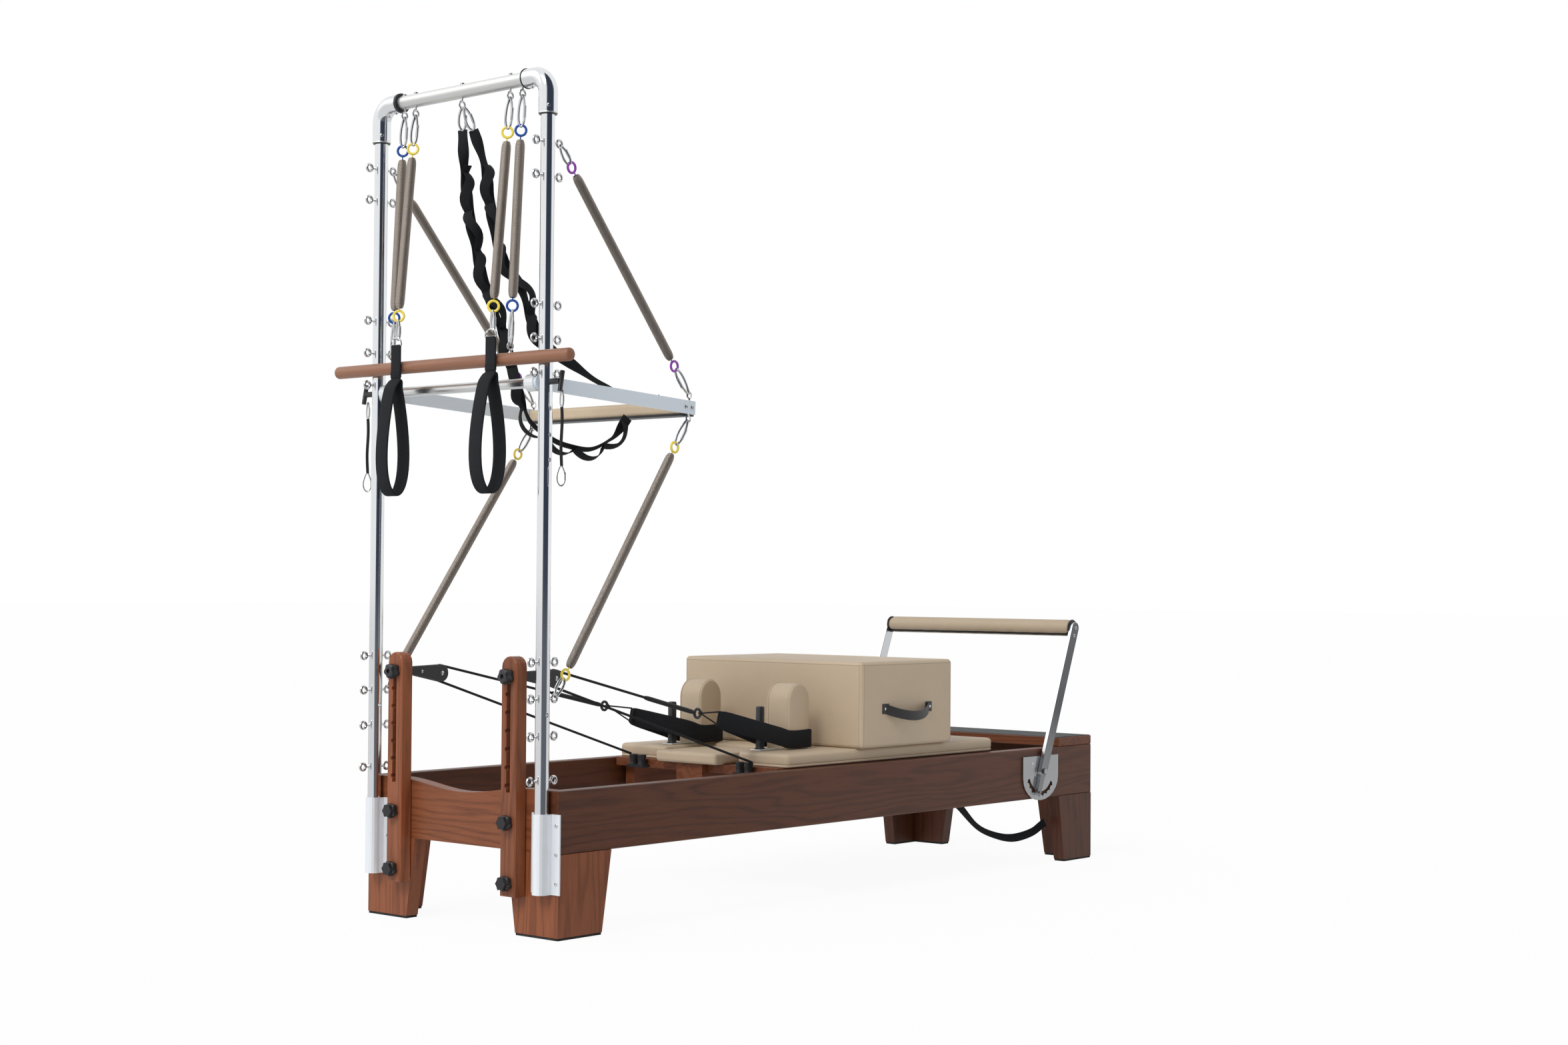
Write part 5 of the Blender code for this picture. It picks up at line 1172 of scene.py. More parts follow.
    def rope(self, name, side):
        """Two straight runs that meet the sheave on its tangents: bearing + and - acos(wrap / distance)."""
        y = side * POST_Y
        hub = np.array(PULLEY)
        ring = np.array((RING_X[side], RING_Z))
        cleat = np.array((CLEAT_X, DECK + 0.014))
        beside = side * (0.013 + ROPE_R + 0.0003)

        def tangent(target, way):
            away = target - hub
            angle = math.atan2(away[1], away[0]) + way * math.acos(ROPE_WRAP / np.linalg.norm(away))
            return angle, hub + ROPE_WRAP * np.array((math.cos(angle), math.sin(angle)))

        top_angle, top = tangent(ring, 1)
        low_angle, low = tangent(cleat, -1)
        share = np.linspace(0, 1, 24)[:, None]
        toward = unit(top - ring)
        start = ring + toward * RING_LINK
        runs = {"upper": start + (top - start) * share, "lower": low + (cleat - low) * share}
        turn = np.linspace(top_angle, low_angle + 2 * math.pi, 24)
        runs["wrap"] = hub + ROPE_WRAP * stack(np.cos(turn), np.sin(turn))
        reach = 0.480
        for part, flat in runs.items():
            out = beside * share[:, 0] if part == "lower" else 0 * flat[:, 0]
            line = stack(flat[:, 0], y + out, flat[:, 1])
            made = piece(f"rope_{part}_{name}", [sweep(line, (0, 1, 0), round_section(ROPE_R, 12))], "rope", "frame")
            if part == "lower":
                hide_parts(f"pull_rope_{name}")
            ends = {"upper": (line[-1], start[0] - top[0]), "lower": (line[0], cleat[0] - low[0])}
            if part in ends:
                anchor, span = ends[part]
                tuple(anchor)
                max(0.05, 1 - reach / span)
                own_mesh(made)
            float(running(line)[-1])
            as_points(line)
        sleeve_end = ring + toward * (RING_LINK + 0.20)
        s = np.linspace(0, 1, 20)[:, None]
        flat = (ring + toward * (RING_LINK + 0.004)) * (1 - s) + sleeve_end * s
        line = stack(flat[:, 0], 0 * flat[:, 0] + y, flat[:, 1])
        swell = np.interp(s[:, 0], [0, 0.06, 0.94, 1], [0.80, 1, 1, 0.80])
        sleeve = piece(f"rope_sleeve_{name}", [sweep(line, (0, 1, 0), round_section(0.0064, 14), grow=swell)],
                       "rubber", "frame")
        max(0.05, 1 - reach / (line[0, 0] - top[0]))
        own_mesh(sleeve)
        piece(f"rope_ring_{name}", [torus((ring[0], y, ring[1]), (0, 1, 0), RING_LINK, 0.0040, 32, 10)],
              "black_plastic", "carriage")


class REFORMER_OT_carriage(bpy.types.Operator):
    """Carriage pads, shoulder rests, pegs, hand straps, wheels and carriage springs"""

    bl_idname = "reformer.carriage"
    bl_label = "Carriage"

    def execute(self, context):
        self.pads()
        for name, side in SIDES.items():
            self.shoulder_rest(name, side)
            self.hand_strap(name, side)
            for end in ("head", "foot"):
                dress(f"wheel_{end}_{name}", "black_plastic")
        self.springs()
        return {"FINISHED"}

    def pads(self):
        low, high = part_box("carriage_pad")
        notch = 0.118 + 0.0205
        notch_end = HEAD_X + 1.095 + 0.017
        corners = [(low.x, low.y), (high.x, low.y), (high.x, high.y), (low.x, high.y), (low.x, notch),
                   (notch_end, notch), (notch_end, -notch), (low.x, -notch)]
        outline, normal = rounded_outline(corners, [0.016, 0.02, 0.02, 0.016, 0.014, 0.006, 0.006, 0.014])
        tall = high.z - low.z
        t = np.linspace(0, np.pi / 2, 7)
        r = 0.011
        top = [(r * (1 - math.cos(a)), tall - r + r * math.sin(a)) for a in t]
        bead = [(0.0022, 0.0), (0.0004, 0.0016), (0.0, 0.004), (0.0006, 0.0062), (0.0018, 0.0072), (0.0006, 0.0084),
                (0.0, 0.011)]
        profile = [(p[0], low.z + p[1]) for p in bead + top]
        grid, (bottom, lid) = carried(outline, normal, profile, flat_xy)
        pad = piece("carriage_cushion", [grid], "leather", "carriage", lids=(bottom[::-1], lid),
                    replaces=("carriage_pad",))
        low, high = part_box("headrest_pad")
        crown = looks().pad_crown
        grids = soft_box(low, (high.x, high.y, high.z - crown * 0.4), 0.010, (0.0015, 0.0015, crown), 5, 0.012,
                         0.0015)
        rest = piece("headrest_cushion", grids, "leather", "headrest", replaces=("headrest_pad",))

    def shoulder_rest(self, name, side):
        """An arch, piped where its faces meet its band; each face swells like (1 - s^2)."""
        base = PAD_TOP + 0.0003
        centre_x = sum(REST_X) / 2
        radius = (REST_X[1] - REST_X[0]) / 2
        rise = radius * 1.15
        t = np.linspace(0, np.pi, 25)
        arc = stack(centre_x + radius * np.cos(t), REST_TOP - rise + rise * np.sin(t))
        corners = [(x, z) for x, z in zip((*REST_X, *REST_X[::-1]), (base, base, base + 0.05, base + 0.05))]
        base_points, base_normal = rounded_outline(corners, 0.006, 4)
        arc_normal = unit(stack(np.cos(t) / radius, np.sin(t) / rise))
        outline = np.concatenate([base_points[:10], arc])
        normal = np.concatenate([base_normal[:10], arc_normal])
        low, high = sorted((side * REST_Y[0], side * REST_Y[1]))
        r = 0.006
        a = np.linspace(0, np.pi / 2, 5)
        edge = [(r * (1 - math.cos(q)), r * (1 - math.sin(q))) for q in a]
        pipe = [(0.0004, 0.0090), (-0.0012, 0.0078), (-0.0012, 0.0064), (0.0004, 0.0056)]
        half = [(0.0, 0.012), *pipe, *edge]
        profile = [(inset, low + d) for inset, d in half[::-1]] + [(0.0, (low + high) / 2)]
        profile += [(inset, high - d) for inset, d in half]
        grid, rims = carried(outline, normal, profile, flat_xz)
        middle = np.array((centre_x, 0.0, base + (REST_TOP - base) * 0.48))
        caps = []
        for rim, way in zip(rims, (-1, 1)):
            rim = np.concatenate([rim, rim[:1]])
            s = np.linspace(1, 0, 8)[:, None, None]
            hub = middle + np.array((0, rim[0, 1], 0))
            cap = hub + (rim[None] - hub) * s
            cap[..., 1] += way * 0.0035 * (1 - s[..., 0] ** 2)
            caps.append((cap, cap[..., [0, 2]]))
        made = piece(f"shoulder_pad_{name}", [grid, *caps], "leather", "carriage",
                     replaces=(f"shoulder_rest_{name}",))
        y = (low + high) / 2
        foot = soft_box((PEG_X - 0.020, y - 0.020, base), (REST_X[1] - 0.004, y + 0.020, base + 0.004), 0.0018,
                        steps=2, spacing=0.05)
        piece(f"rest_plate_{name}", foot, "steel_satin", "carriage")
        tall = PEG_TOP - base
        peg = turn_about([(0, 0), (0.0150, 0), (0.0150, 0.006), (0.0128, 0.008), (0.0124, 0.010),
                          (0.0124, tall - 0.004), (0.0110, tall - 0.0008), (0.008, tall), (0, tall)],
                         (PEG_X, y, base), (0, 0, 1), 32)
        piece(f"strap_peg_{name}", [peg], "black_plastic", "carriage")

    def hand_strap(self, name, side):
        """A padded band laid round the shoulder rest and drawn in to the rope's ring."""
        gap = 0.0036
        start = STRAP_X[side]
        front = side * (REST_Y[1] + gap)
        back = side * (REST_Y[0] - gap)
        end = REST_X[1] + gap
        ring_y = side * POST_Y
        half = 0.0260
        plan = [(start, ring_y + side * 0.003), (start + 0.03, ring_y + side * 0.006),
                (REST_X[0] - 0.06, front + side * 0.003), (REST_X[0], front), (end - 0.012, front),
                (end - 0.003, front - side * 0.003), (end, front - side * 0.012), (end, (front + back) / 2),
                (end, back + side * 0.012), (end - 0.003, back + side * 0.003), (end - 0.012, back),
                (REST_X[0], back), (REST_X[0] - 0.06, back + side * 0.010), (start + 0.03, ring_y - side * 0.008),
                (start, ring_y - side * 0.003)]
        plan = np.array(plan)
        share = np.clip((REST_X[0] - plan[:, 0]) / (REST_X[0] - RING_X[side]), 0, 1)
        z = PAD_TOP + half + 0.004 + (RING_Z - PAD_TOP - half - 0.004) * share
        line = smooth_route(np.column_stack([plan, z]), 110)
        s = running(line)
        from_end = np.minimum(s, s[-1] - s)
        broad = np.interp(from_end, [0.0, 0.012, 0.05], [0.80, 0.96, 1.0])
        thick = np.interp(from_end, [0.0, 0.03], [0.75, 1.0])
        made = piece(f"hand_strap_pad_{name}",
                     [sweep(line, (0, 0, 1), flat_section(0.052, 0.006), grow=np.column_stack([broad, thick]))],
                     "padding", "carriage", replaces=(f"hand_strap_{name}",))
        ring = np.array((RING_X[side] + RING_LINK, ring_y, RING_Z))
        head = line[0]
        corners = [ring, head + (0.006, 0, 0.0205), head + (0.006, 0, -0.0205)]
        share = np.linspace(0, 1, 16, endpoint=False)[:, None]
        loop = np.concatenate([corners[i] * (1 - share) + corners[(i + 1) % 3] * share for i in range(3)])
        piece(f"strap_link_{name}", [sweep(loop, (0, 1, 0), round_section(0.0022, 8), closed=True),
                                     torus(ring, (1, 0, 0), 0.0042, 0.0030, 16, 8)], "rope", "carriage")

    def springs(self):
        low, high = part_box("carriage_springs")
        bar_x = high.x - 0.030
        z = 0.300
        piece("spring_bar", soft_box((bar_x, low.y, z - 0.015), (high.x, high.y, z + 0.015), 0.002, steps=2,
                                     spacing=0.1), "oak_y", "frame", replaces=("carriage_springs",))
        wire = looks().coil_wire
        for i, y in enumerate((-0.20, -0.10, 0.0, 0.10, 0.20)):
            grids = [coil((bar_x - 0.020, y, z), (low.x + 0.045, y, z), 0.013, wire, stretch=1.08, per_turn=10),
                     rod((low.x, y, z), (low.x + 0.060, y, z), 0.0022, 10),
                     rod((bar_x - 0.045, y, z), (bar_x + 0.003, y, z), 0.0030, 10)]
            made = piece(f"bed_spring_{i + 1}", grids, "coil_steel")
            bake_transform(made)


class REFORMER_OT_sitting_box(bpy.types.Operator):
    """The upholstered box with its sewn edges and riveted strap handles"""

    bl_idname = "reformer.sitting_box"
    bl_label = "Sitting box"

    def execute(self, context):
        low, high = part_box("sitting_box")
        half_y = 0.3475
        low = np.array((low.x, -half_y, low.z))
        high = np.array((high.x, half_y, high.z))

        def seams(f):
            """Sewn lines 10.5 mm in from the box's upright edges and its top edge."""
            x, y, z = f.axes()
            dx = (x - low[0]).least(high[0] - x)
            dy = (y - low[1]).least(high[1] - y)
            dz = high[2] - z
            marks = [1 - abs(a - 0.0105).above(0.0009, 0.0006) for a in (dx, dy, dz)]
            return marks[0].most(marks[1]).most(marks[2])

        cover = leatherette("box_leather", looks().leather, seams)
        crown = looks().pad_crown
        grids = soft_box(low, high, 0.012, (crown, crown * 0.7, crown * 0.6), 6, 0.02)
        box = piece("box_cushion", grids, cover, "sitting_box", replaces=("sitting_box",))
        for name, side in SIDES.items():
            self.handle(name, side, low, high)
        return {"FINISHED"}

    def handle(self, name, side, low, high):
        z = low[2] + 0.112
        x0, x1 = HEAD_X + 1.327, HEAD_X + 1.533
        t = np.linspace(0, 1, 48)
        bulge = np.sin(np.pi * t) ** 0.8
        y = side * (high[1] + 0.002 + 0.034 * bulge)
        line = stack(x0 + (x1 - x0) * t, y, z - 0.022 * bulge)
        piece(f"box_handle_{name}", [sweep(line, (0, 0, 1), flat_section(0.028, 0.003))], "black_leather",
              "sitting_box")
        tabs = []
        rivets = []
        for x, way in ((x0, 1), (x1, -1)):
            inner, outer = sorted((side * (high[1] - 0.001), side * (high[1] + 0.0042)))
            tabs += soft_box((x - 0.016, inner, z - 0.015), (x + 0.016, outer, z + 0.015), 0.0018, steps=2,
                             spacing=0.05)
            rivets.append(turn_about([(0, 0), (0.0046, 0), (0.0042, 0.0016), (0.0022, 0.0024), (0, 0.0026)],
                                     (x - way * 0.004, side * (high[1] + 0.0040), z), (0, side, 0), 20))
        piece(f"handle_tabs_{name}", tabs, "black_leather", "sitting_box")
        piece(f"handle_rivets_{name}", rivets, SCREW, "sitting_box")


class REFORMER_OT_footbar(bpy.types.Operator):
    """The footbar's steel frame and plates, its cover and its broad arms"""

    bl_idname = "reformer.footbar"
    bl_label = "Footbar"

    def execute(self, context):
        steel = Finish("footbar_steel", metallic=1.0)
        _, across, up = steel.axes()
        outer = abs(across).above(0.3801, 0.0001)
        fine = steel.noise(900.0, 2.0, source=steel.stretched(2, 0.02))
        cloud = steel.noise(5.0, 3.0)
        # Painted reflection: the outer faces of the frame's arms are painted bright and its other faces dark, lighter
        # towards the bottom
        low = 1 - up.above(0.42, 0.10)
        face = steel.mix(cloud * 0.6 + low * 0.5, (0.060, 0.063, 0.068), (0.30, 0.305, 0.31))
        steel.put("Base Color", steel.mix(outer, (0.70, 0.71, 0.72), face))
        steel.put("Roughness", 0.18 + fine * 0.08)
        steel.bump(fine, 0.08, 0.0003)
        dress("footbar_frame", steel.material)
        for name in SIDES:
            dress(f"footbar_plate_{name}", "steel_plate")
        low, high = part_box("footbar_pad")
        x, z = (low.x + high.x) / 2, (low.z + high.z) / 2
        radius = (high.z - low.z) / 2
        reach = high.y
        s = np.linspace(-1, 1, 60)
        t = np.linspace(0, 2 * np.pi, 57)
        off = np.abs((t - SLIT_ANGLE + np.pi) % (2 * np.pi) - np.pi)
        slit = 0.010 * np.exp(-(off / 0.10) ** 2)
        ends = np.clip((1 - np.abs(s)) / 0.012, 0, 1)
        shrink = 0.80 + 0.20 * np.sqrt(1 - (1 - ends) ** 2)
        ripple = 0.0005 * np.sin(s * 37.0)[:, None] * np.cos(3 * t)[None]
        r = (radius - 0.0008) * shrink[:, None] - slit[None] * (0.5 + 0.5 * np.cos(s * 1.4))[:, None] + ripple
        points = stack(x + r * np.cos(t), np.broadcast_to((s * reach)[:, None], r.shape), z + r * np.sin(t))
        ends = [np.broadcast_to(np.array((x, w * reach, z)), (1, len(t), 3)) for w in (-1, 1)]
        points = np.concatenate([ends[0], points, ends[1]])
        uv = points[..., [1, 2]]
        # The slit's near-black is painted shade inside the cover's opening
        cover = leatherette("bar_leather", tinted(looks().leather, 0.76), black=lambda f: self.slit(f, x, z),
                           crease=0.15)
        pad = piece("footbar_cushion", [(points, uv)], cover, "footbar", replaces=("footbar_pad",))
        plugs = []
        for way in (-1, 1):
            plugs.append(turn_about([(0, 0), (radius * 0.97, 0), (radius, 0.001), (radius, 0.0032), (0, 0.0036)],
                                    (x, way * (reach + 0.0002), z), (0, way, 0), 40))
        piece("footbar_plugs", plugs, "black_plastic", "footbar")
        self.bolts(x, z, steel.material)
        return {"FINISHED"}

    def slit(self, f, x, z):
        """1 in the cover's slit, which faces down and back."""
        px, _, pz = f.axes()
        along = (px - x) * math.cos(SLIT_ANGLE) + (pz - z) * math.sin(SLIT_ANGLE)
        beside = (pz - z) * math.cos(SLIT_ANGLE) - (px - x) * math.sin(SLIT_ANGLE)
        return along.above(0.005, 0.001) * (1 - abs(beside).above(0.0052, 0.0006))

    def bolts(self, x, z, steel):
        """The broad arms round the frame's own, with button heads at the bar and on the plates."""
        head = [(0, 0), (0.0055, 0), (0.0052, 0.0016), (0.0028, 0.0026), (0.0026, 0.0010), (0, 0.0010)]
        for name, side in SIDES.items():
            arm = side * (PLATE_FACE + 0.0006 + 0.012)
            face = side * PLATE_FACE
            inner, outer = sorted((side * 0.36825, side * 0.38055))
            grid, lids = plate(*hull_outline((FOOT_PIVOT[0], FOOT_PIVOT[1], 0.0185), (x, z, 0.0185)), inner, outer)
            piece(f"footbar_arm_{name}", [grid], steel, "footbar", lids=lids)
            places = [(x, arm, z)]
            lean = np.array((math.sin(FOOT_LEAN), 0, math.cos(FOOT_LEAN)))
            places.append(tuple(np.array((x, arm, z)) - lean * 0.026))
            heads = [turn_about(head, p, (0, side, 0), 18) for p in places]
            for dx, dz in ((-0.045, 0.026), (0.045, 0.026), (-0.030, -0.012), (0.030, -0.012)):
                heads.append(turn_about([(r * 0.72, d * 0.15) for r, d in head],
                                        (FOOT_PIVOT[0] + dx, face, FOOT_PIVOT[1] + dz), (0, side, 0), 16))
            piece(f"footbar_bolts_{name}", heads[:2], SCREW, "footbar")
            piece(f"plate_screws_{name}", heads[2:], SCREW, "frame")


def arm_point(along, above=0.0, y=0.0):
    """A point of the push bar's arm, along it from the axle and above its middle line."""
    return np.array((TUBE_X + along * math.cos(ARM_SLOPE) + above * math.sin(ARM_SLOPE), y,
                     AXLE_Z - along * math.sin(ARM_SLOPE) + above * math.cos(ARM_SLOPE)))


class REFORMER_OT_push_bar(bpy.types.Operator):
    """The push-through bar, its padded grip and its four long springs"""

    bl_idname = "reformer.push_bar"
    bl_label = "Push bar"

    def execute(self, context):
        self.bar()
        for level, height, way, colour in (("upper", 1.985, 1, "purple"), ("lower", 0.597, -1, "yellow")):
            tip = arm_point(ARM_EYE, way * (ARM_HALF + 0.014))
            for name, side in SIDES.items():
                anchor = np.array((TUBE_X + EYE_REACH, side * TUBE_Y, height))
                target = np.array((tip[0], side * (ARM_Y + EYE_OUT), tip[2]))
                self.spring(f"{level}_{name}", anchor, target, colour, level)
        return {"FINISHED"}

    def bar(self):
        """Blue-grey arms, a steel axle, clear white hubs and plated eyes, told apart by where they are."""
        f = Finish("push_bar_metals")
        x, y, z = f.axes()
        line = abs((z - AXLE_Z) * math.cos(ARM_SLOPE) + (x - TUBE_X) * math.sin(ARM_SLOPE))
        inside = 1 - abs(y).above(ARM_Y - 0.0041, 0.0002)
        plated = inside.most(line.above(ARM_HALF + 0.0006, 0.0003))
        hub = inside * abs(y).above(0.2611, 0.0004)
        cloud = f.noise(7.0, 3.0)
        fine = f.noise(700.0, 2.0, source=f.stretched(0, 0.02))
        arm = f.mix(cloud * 0.5 + fine * 0.5, (0.70, 0.77, 0.84), (0.80, 0.86, 0.92))
        steel = f.mix(cloud, (0.72, 0.72, 0.70), (0.82, 0.82, 0.81))
        f.put("Base Color", f.mix(hub, f.mix(plated, arm, steel), (0.78, 0.80, 0.80)))
        f.put("Metallic", (0.12 + plated * 0.88) * (1 - hub))
        f.put("Roughness", 0.42 - plated * 0.20 + fine * 0.05 + hub * 0.05)
        f.bump(fine, 0.10, 0.0003)
        dress("push_bar_frame", f.material)
        low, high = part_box("push_bar_grip")
        grids = soft_box((low.x, low.y, low.z + 0.0055), (high.x, high.y, high.z), 0.010, (0, 0, 0.0015), 5, 0.02)
        pad = piece("grip_cushion", grids, "grip_leather", "push_bar", replaces=("push_bar_grip",))
        board = soft_box((low.x + 0.003, low.y + 0.001, low.z), (high.x - 0.003, high.y - 0.001, low.z + 0.0062),
                         0.0015, steps=2, spacing=0.1)
        piece("grip_board", board, "black_plastic", "push_bar")
        bolt = [(0, 0), (0.0058, 0), (0.0054, 0.0018), (0.0030, 0.0030), (0.0028, 0.0012), (0, 0.0012)]
        for name, side in SIDES.items():
            bolts = [turn_about(bolt, arm_point(a, 0.0, side * (ARM_Y + 0.0040)), (0, side, 0), 20)
                     for a in (0.534, 0.558)]
            piece(f"arm_bolts_{name}", bolts, SCREW, "push_bar")
            bush = turn_about([(0, 0), (0.0120, 0), (0.0130, 0.001), (0.0130, 0.0050), (0.0120, 0.006), (0, 0.006)],
                              (TUBE_X, side * 0.2610, AXLE_Z), (0, -side, 0), 32)
            piece(f"axle_bush_{name}", [bush], "brass", "push_bar")

    def spring(self, tag, anchor, target, colour, level):
        way = unit(target - anchor)
        side, width = (0.3, 1, 0), 0.021
        ends = (anchor + way * 0.092, target - way * 0.118)
        low = strung("push", tag, anchor, way, ends, (0.009, 0.009), (0, 1, 0), ("push_hook_top", side, width),
                     colour, (f"{level}_springs", f"{level}_hooks"), (f"push_spring_{tag}",), (f"push_clip_{tag}",))
        reach = np.linalg.norm(target - low) - RING_R + HOOK_LAP
        piece(f"push_hook_low_{tag}", snap_hook(target - way * 0.001, -way, reach, side, width), SCREW,
              f"{level}_hooks")


class REFORMER_OT_hanging_set(bpy.types.Operator):
    """The roll-down bar and the two padded loops on their four hanging springs"""

    bl_idname = "reformer.hanging_set"
    bl_label = "Hanging set"

    def execute(self, context):
        self.roll_down()
        for name, side in SIDES.items():
            self.loop(name, side)
        return {"FINISHED"}

    def hang(self, tag, y, way, colour, bodies, replaces=()):
        """One spring from a crossbar eye. Returns the lower ring's far side."""
        start = np.array((TUBE_X, y, CROSS_EYE_Z))
        ends = [start + way * ((CROSS_EYE_Z - height) / -way[2]) for height in (HANG_TOP, HANG_BOTTOM)]
        low = strung("hang", tag, start, way, ends, (0.010, 0.006), (0.75, 0.66, 0),
                     ("hang_hook", (0.76, 0.65, 0), 0.019), colour, bodies, replaces)
        return low + way * RING_R

    def roll_down(self):
        end = np.array((ROLL_X, 0, ROLL_Z))
        way = unit(end - (TUBE_X, 0, CROSS_EYE_Z))
        f = Finish("bar_wood")
        stretch = f.stretched(1, 0.05)
        grain = f.noise(60.0, 4.0, 0.6, source=stretch)
        slow = f.noise(11.0, 3.0, source=stretch)
        tone = grain * 0.6 + slow * 0.5
        f.put("Base Color", f.node("ShaderNodeValToRGB", {"stops": [(0.30, (0.330, 0.150, 0.080)),
                                                                   (0.80, (0.205, 0.082, 0.042))]},
                                   {"Fac": tone})["Color"])
        f.put("Roughness", 0.34 + grain * 0.12)
        f.bump(grain, 0.15, 0.0004)
        t = np.linspace(0, np.pi / 2, 9)
        r = ROLL_R
        profile = [(r * math.sin(a), 0.010 * (1 - math.cos(a))) for a in t]
        profile += [(r, ROLL_HALF * k / 4) for k in range(1, 8)]
        profile += [(p[0], 2 * ROLL_HALF - p[1]) for p in profile[:9][::-1]]
        piece("roll_down_grip", [turn_about(profile, (ROLL_X, -ROLL_HALF, ROLL_Z), (0, 1, 0), 40)], f.material,
              "roll_down", replaces=("roll_down_bar",))
        for name, side in SIDES.items():
            y = side * OUTER_SPRING_Y
            low = self.hang(f"outer_{name}", y, way, "blue", ("roll_down", "roll_down"))
            middle = np.array((ROLL_X, y, ROLL_Z))
            eye = middle - way * (ROLL_R + 0.016)
            grids = [torus(eye, (0, 1, 0), EYE_RADIUS, 0.0025, 28, 9),
                     rod(middle - way * (ROLL_R - 0.003), eye + way * (EYE_RADIUS - 0.0005), 0.0028, 12),
                     turn_about([(0, 0), (0.006, 0), (0.0055, 0.0018), (0, 0.0022)], middle - way * (ROLL_R - 0.0008),
                                -way, 20)]
            piece(f"roll_down_eye_{name}", grids, SCREW, "roll_down")
            reach = np.linalg.norm(eye - low) + 0.006
            piece(f"roll_down_hook_{name}", snap_hook(low - way * 0.005, way, reach, (1, 0, 0), 0.016), SCREW,
                  "roll_down")

    def loop(self, name, side):
        """Clip, D ring, the doubled band in front of the bar, and the teardrop loop below it."""
        y = side * INNER_SPRING_Y
        way = unit(np.array((LOOP_X, 0, LOOP_TOP)) - (TUBE_X, 0, CROSS_EYE_Z))
        bodies = (f"loop_spring_{name}", f"hand_loop_{name}")
        low = self.hang(f"inner_{name}", y, way, "yellow", bodies, replaces=(f"loop_spring_{name}",))
        ring = np.array((LOOP_X, y, LOOP_TOP + 0.004))
        reach = low[2] - ring[2] - 0.004
        grids = snap_hook(low + (0, 0, 0.005), (0, 0, -1), reach, (1, 0, 0), 0.016)
        t = np.linspace(0, 2 * np.pi, 36, endpoint=False)
        bow = ring + stack(0 * t, 0.0205 * np.cos(t), 0.016 * np.maximum(np.sin(t), -0.20))
        grids.append(sweep(bow, (1, 0, 0), round_section(0.0022, 8), closed=True))
        piece(f"loop_ring_{name}", grids, SCREW, f"hand_loop_{name}")
        s = np.linspace(0, 1, 14)
        band = stack(0 * s + LOOP_X, 0 * s + y, LOOP_TOP + 0.002 - (LOOP_TOP - LOOP_SPLIT + 0.004) * s)
        made = [sweep(band, (0, 1, 0), flat_section(0.037, 0.006))]
        t = 2 * np.pi * np.arange(64) / 64
        share = (1 + np.cos(t)) / 2
        spread = LOOP_SPREAD / 2 * (1.0 - side * 0.06) * np.sin(t) * (0.50 + 0.72 * (1 - share))
        height = LOOP_SPLIT - LOOP_BOTTOM
        lift = np.clip((share - 0.93) / 0.07, 0, 1)
        path = stack(LOOP_X - 0.008 * (1 - lift) + spread, 0 * t + y,
                     LOOP_BOTTOM + 0.003 + (height - 0.006) * share)
        made.append(sweep(path, (0, 1, 0), flat_section(0.045, 0.0065), closed=True))
        loop = piece(f"loop_pad_{name}", made, "padding", f"hand_loop_{name}", replaces=(f"hand_loop_{name}",))
        cuff = [sweep(band[10:13], (0, 1, 0), flat_section(0.039, 0.0085))]
        piece(f"loop_cuff_{name}", cuff, "webbing", f"hand_loop_{name}")


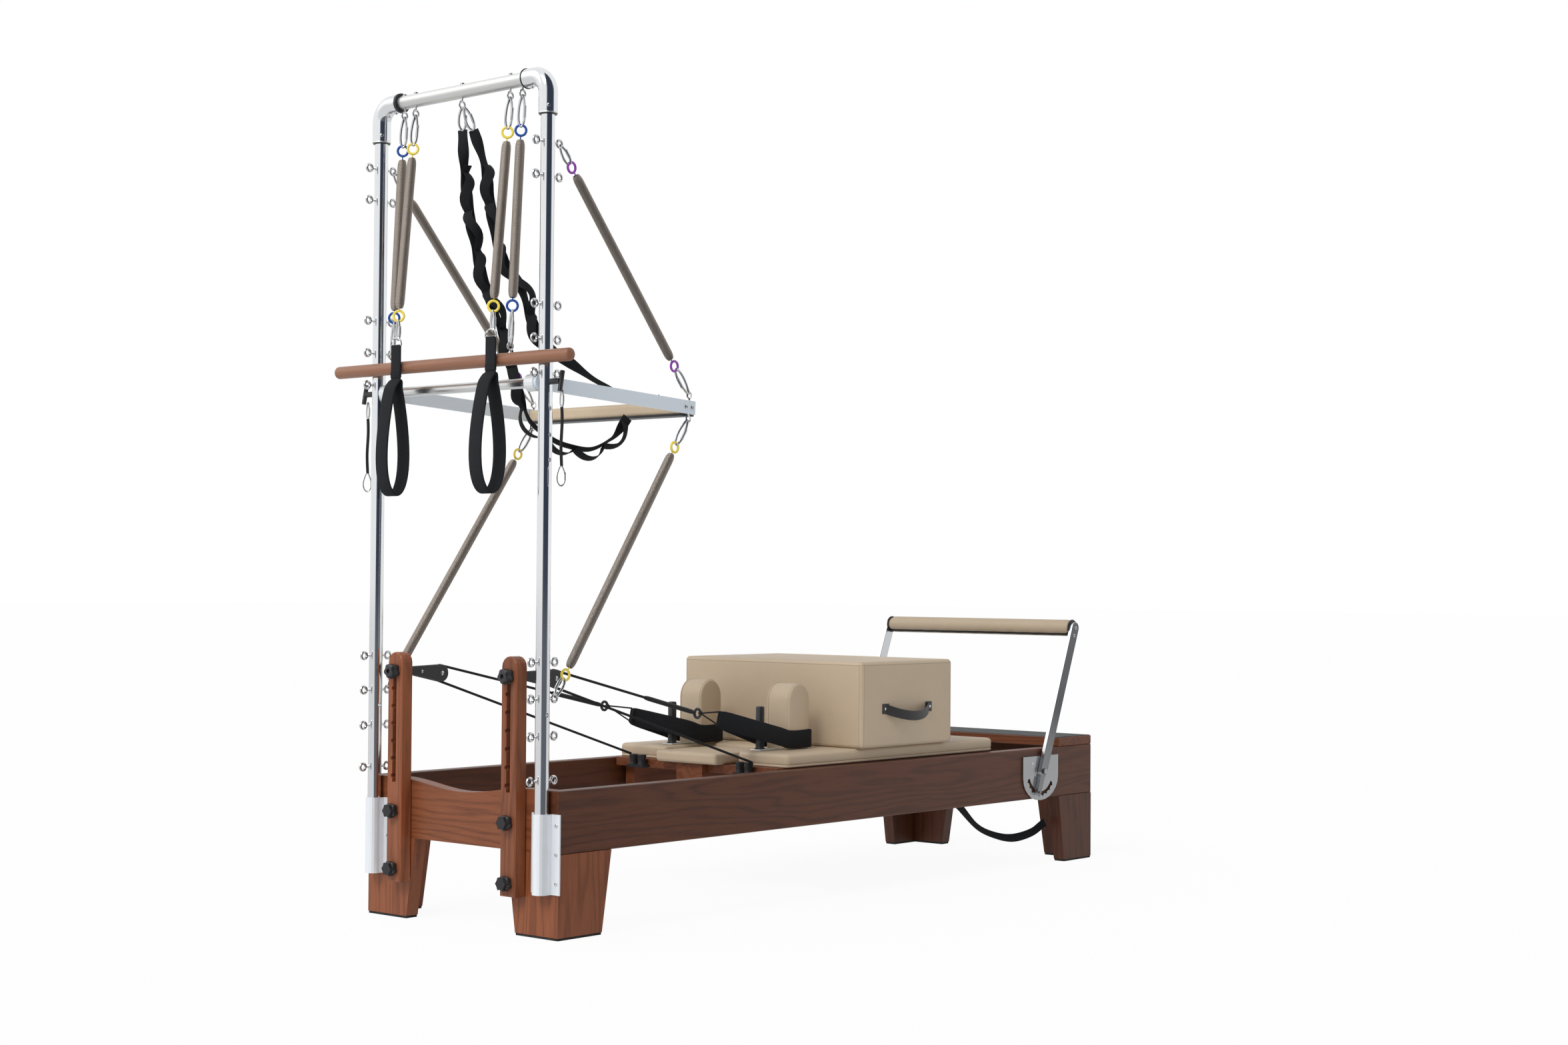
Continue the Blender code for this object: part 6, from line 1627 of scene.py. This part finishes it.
class REFORMER_OT_straps(bpy.types.Operator):
    """The two long slings of the push bar and the strap under the foot end"""

    bl_idname = "reformer.straps"
    bl_label = "Slings and foot strap"

    def execute(self, context):
        self.slings()
        self.foot_strap()
        return {"FINISHED"}

    def slings(self):
        """Daisy chains: a main band, and a second one sewn to it at every pocket, which hangs away from it by
        |sin(pi s / pocket)|. They turn broadside and edgeways on their way down."""
        knot_z = CROSS_EYE_Z - 0.062
        grip = arm_point(0.520)
        right = [(0.010, -0.012, knot_z), (0.036, -0.030, 1.958), (0.040, -0.045, 1.873), (0.041, -0.060, 1.787),
                 (0.056, -0.082, 1.716), (0.090, -0.110, 1.646), (0.101, -0.150, 1.545), (0.130, -0.180, 1.486),
                 (0.178, -0.205, 1.453), (0.229, -0.232, 1.416), (0.262, -0.252, 1.396), (0.300, -0.268, 1.3775),
                 (0.348, -0.272, 1.3745), (0.408, -0.272, 1.3715)]
        left = [(-0.006, 0.012, knot_z), (-0.004, 0.004, 1.932), (0.002, -0.006, 1.860), (0.004, -0.018, 1.786),
                (0.018, -0.036, 1.692), (0.047, -0.055, 1.592), (0.078, -0.070, 1.506), (0.097, -0.085, 1.406),
                (0.118, -0.092, 1.350), (0.142, -0.100, 1.300), (0.209, -0.108, 1.2605), (0.274, -0.110, 1.2443),
                (0.350, -0.110, 1.241), (0.420, -0.110, 1.269), (0.462, -0.110, 1.304)]
        right = [*from_head(right), (grip[0] - 0.018, -0.270, grip[2] + 0.014)]
        left = [*from_head(left), (grip[0] - 0.012, -0.110, grip[2] - 0.024)]
        pocket = 0.105
        hook = []
        for tag, route, level, phase in (("right", right, 1.43, 0.5), ("left", left, 1.37, -0.4)):
            line = smooth_route(route, 150)
            s = running(line)
            tangent = unit(np.gradient(line, axis=0))
            down = np.interp(line[:, 2], [level - 0.04, level + 0.06], [1.0, 0.0])
            down[np.argmax(down >= 1.0):] = 1.0
            ending = np.clip((s - s[-1] + 0.09) / 0.07, 0, 1)
            yaw = (-0.60 - 0.75 * np.cos(s * 32.0 + phase)) * (1 - down) - (2.20 + 1.3 * ending) * down
            wide = stack(np.cos(yaw), np.sin(yaw), 0.30 * down)
            wide = square_to(tangent, wide)
            face = np.cross(tangent, wide)
            made = piece(f"sling_{tag}", [sweep(line, wide, flat_section(0.029, 0.0022))], "webbing",
                         replaces=("loop_slings",) if tag == "left" else ())
            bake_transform(made)
            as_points(line)
            last = s[-1] - 0.02 if tag == "left" else s[np.argmax(down > 0)]
            inner = (s > 0.09) & (s < last)
            bulge = 0.025 * np.abs(np.sin(np.pi * (s - last) / pocket)) ** 0.8 + 0.0022
            path = (line + face * bulge[:, None])[inner]
            loops = piece(f"sling_loops_{tag}", [sweep(path, wide[inner], flat_section(0.027, 0.0020))], "webbing")
            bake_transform(loops)
            top = np.array((TUBE_X + 0.15 * (line[0, 0] - TUBE_X), 0.2 * line[0, 1],
                            CROSS_EYE_Z - EYE_RADIUS + 0.005))
            foot = line[0] - (0, 0, 0.004)
            hook += snap_hook(top, foot - top, np.linalg.norm(foot - top), (0.76, 0.65, 0), 0.022)
        piece("sling_hooks", hook, SCREW, "frame")

    def foot_strap(self):
        y = -0.3225 + 0.0018
        high = 0.212 + 0.016
        route = from_head([(1.700, y, high), (1.735, y + 0.002, high - 0.018), (1.859, y + 0.018, 0.137),
                           (1.969, y + 0.027, 0.100), (2.066, y + 0.028, 0.084), (2.158, y + 0.020, 0.096),
                           (2.2135, y + 0.008, 0.124)])
        line = smooth_route(route, 70)
        s = np.linspace(0, 1, len(line))
        turn = np.sin(np.pi * s) ** 2
        lie = stack(0.35 * (1 - turn), 0.45 * turn, 1.0 - 0.25 * turn)
        lie = square_to(unit(np.gradient(line, axis=0)), lie)
        line[:, 1] += np.abs(lie[:, 1]) * 0.014 + 0.0012
        made = piece("foot_strap_web", [sweep(line, lie, flat_section(0.026, 0.003))], "webbing", "frame",
                     replaces=("foot_strap",))
        float(running(line)[-1])
        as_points(line)


class REFORMER_PT_panel(bpy.types.Panel):
    """Colours, sizes and the steps that dress the reformer"""

    bl_label = "Reformer"
    bl_idname = "REFORMER_PT_panel"
    bl_space_type = "VIEW_3D"
    bl_region_type = "UI"
    bl_category = "Reformer"

    def draw(self, context):
        for name in ReformerLooks.__annotations__:
            self.layout.prop(context.scene.reformer_looks, name)
        for step in STEPS:
            self.layout.operator(step.bl_idname)


STEPS = (REFORMER_OT_stage, REFORMER_OT_ropes, REFORMER_OT_tower, REFORMER_OT_straps, REFORMER_OT_timber,
         REFORMER_OT_carriage, REFORMER_OT_sitting_box, REFORMER_OT_footbar, REFORMER_OT_push_bar,
         REFORMER_OT_hanging_set)
CLASSES = (ReformerLooks, *STEPS, REFORMER_PT_panel)


def register():
    for made in CLASSES:
        bpy.utils.register_class(made)
    bpy.types.Scene.reformer_looks = bpy.props.PointerProperty(type=ReformerLooks)


def unregister():
    del bpy.types.Scene.reformer_looks
    for made in reversed(CLASSES):
        bpy.utils.unregister_class(made)


def main():
    register()
    for step in STEPS:
        group, name = step.bl_idname.split(".")
        getattr(getattr(bpy.ops, group), name)()


if __name__ == "__main__":
    main()
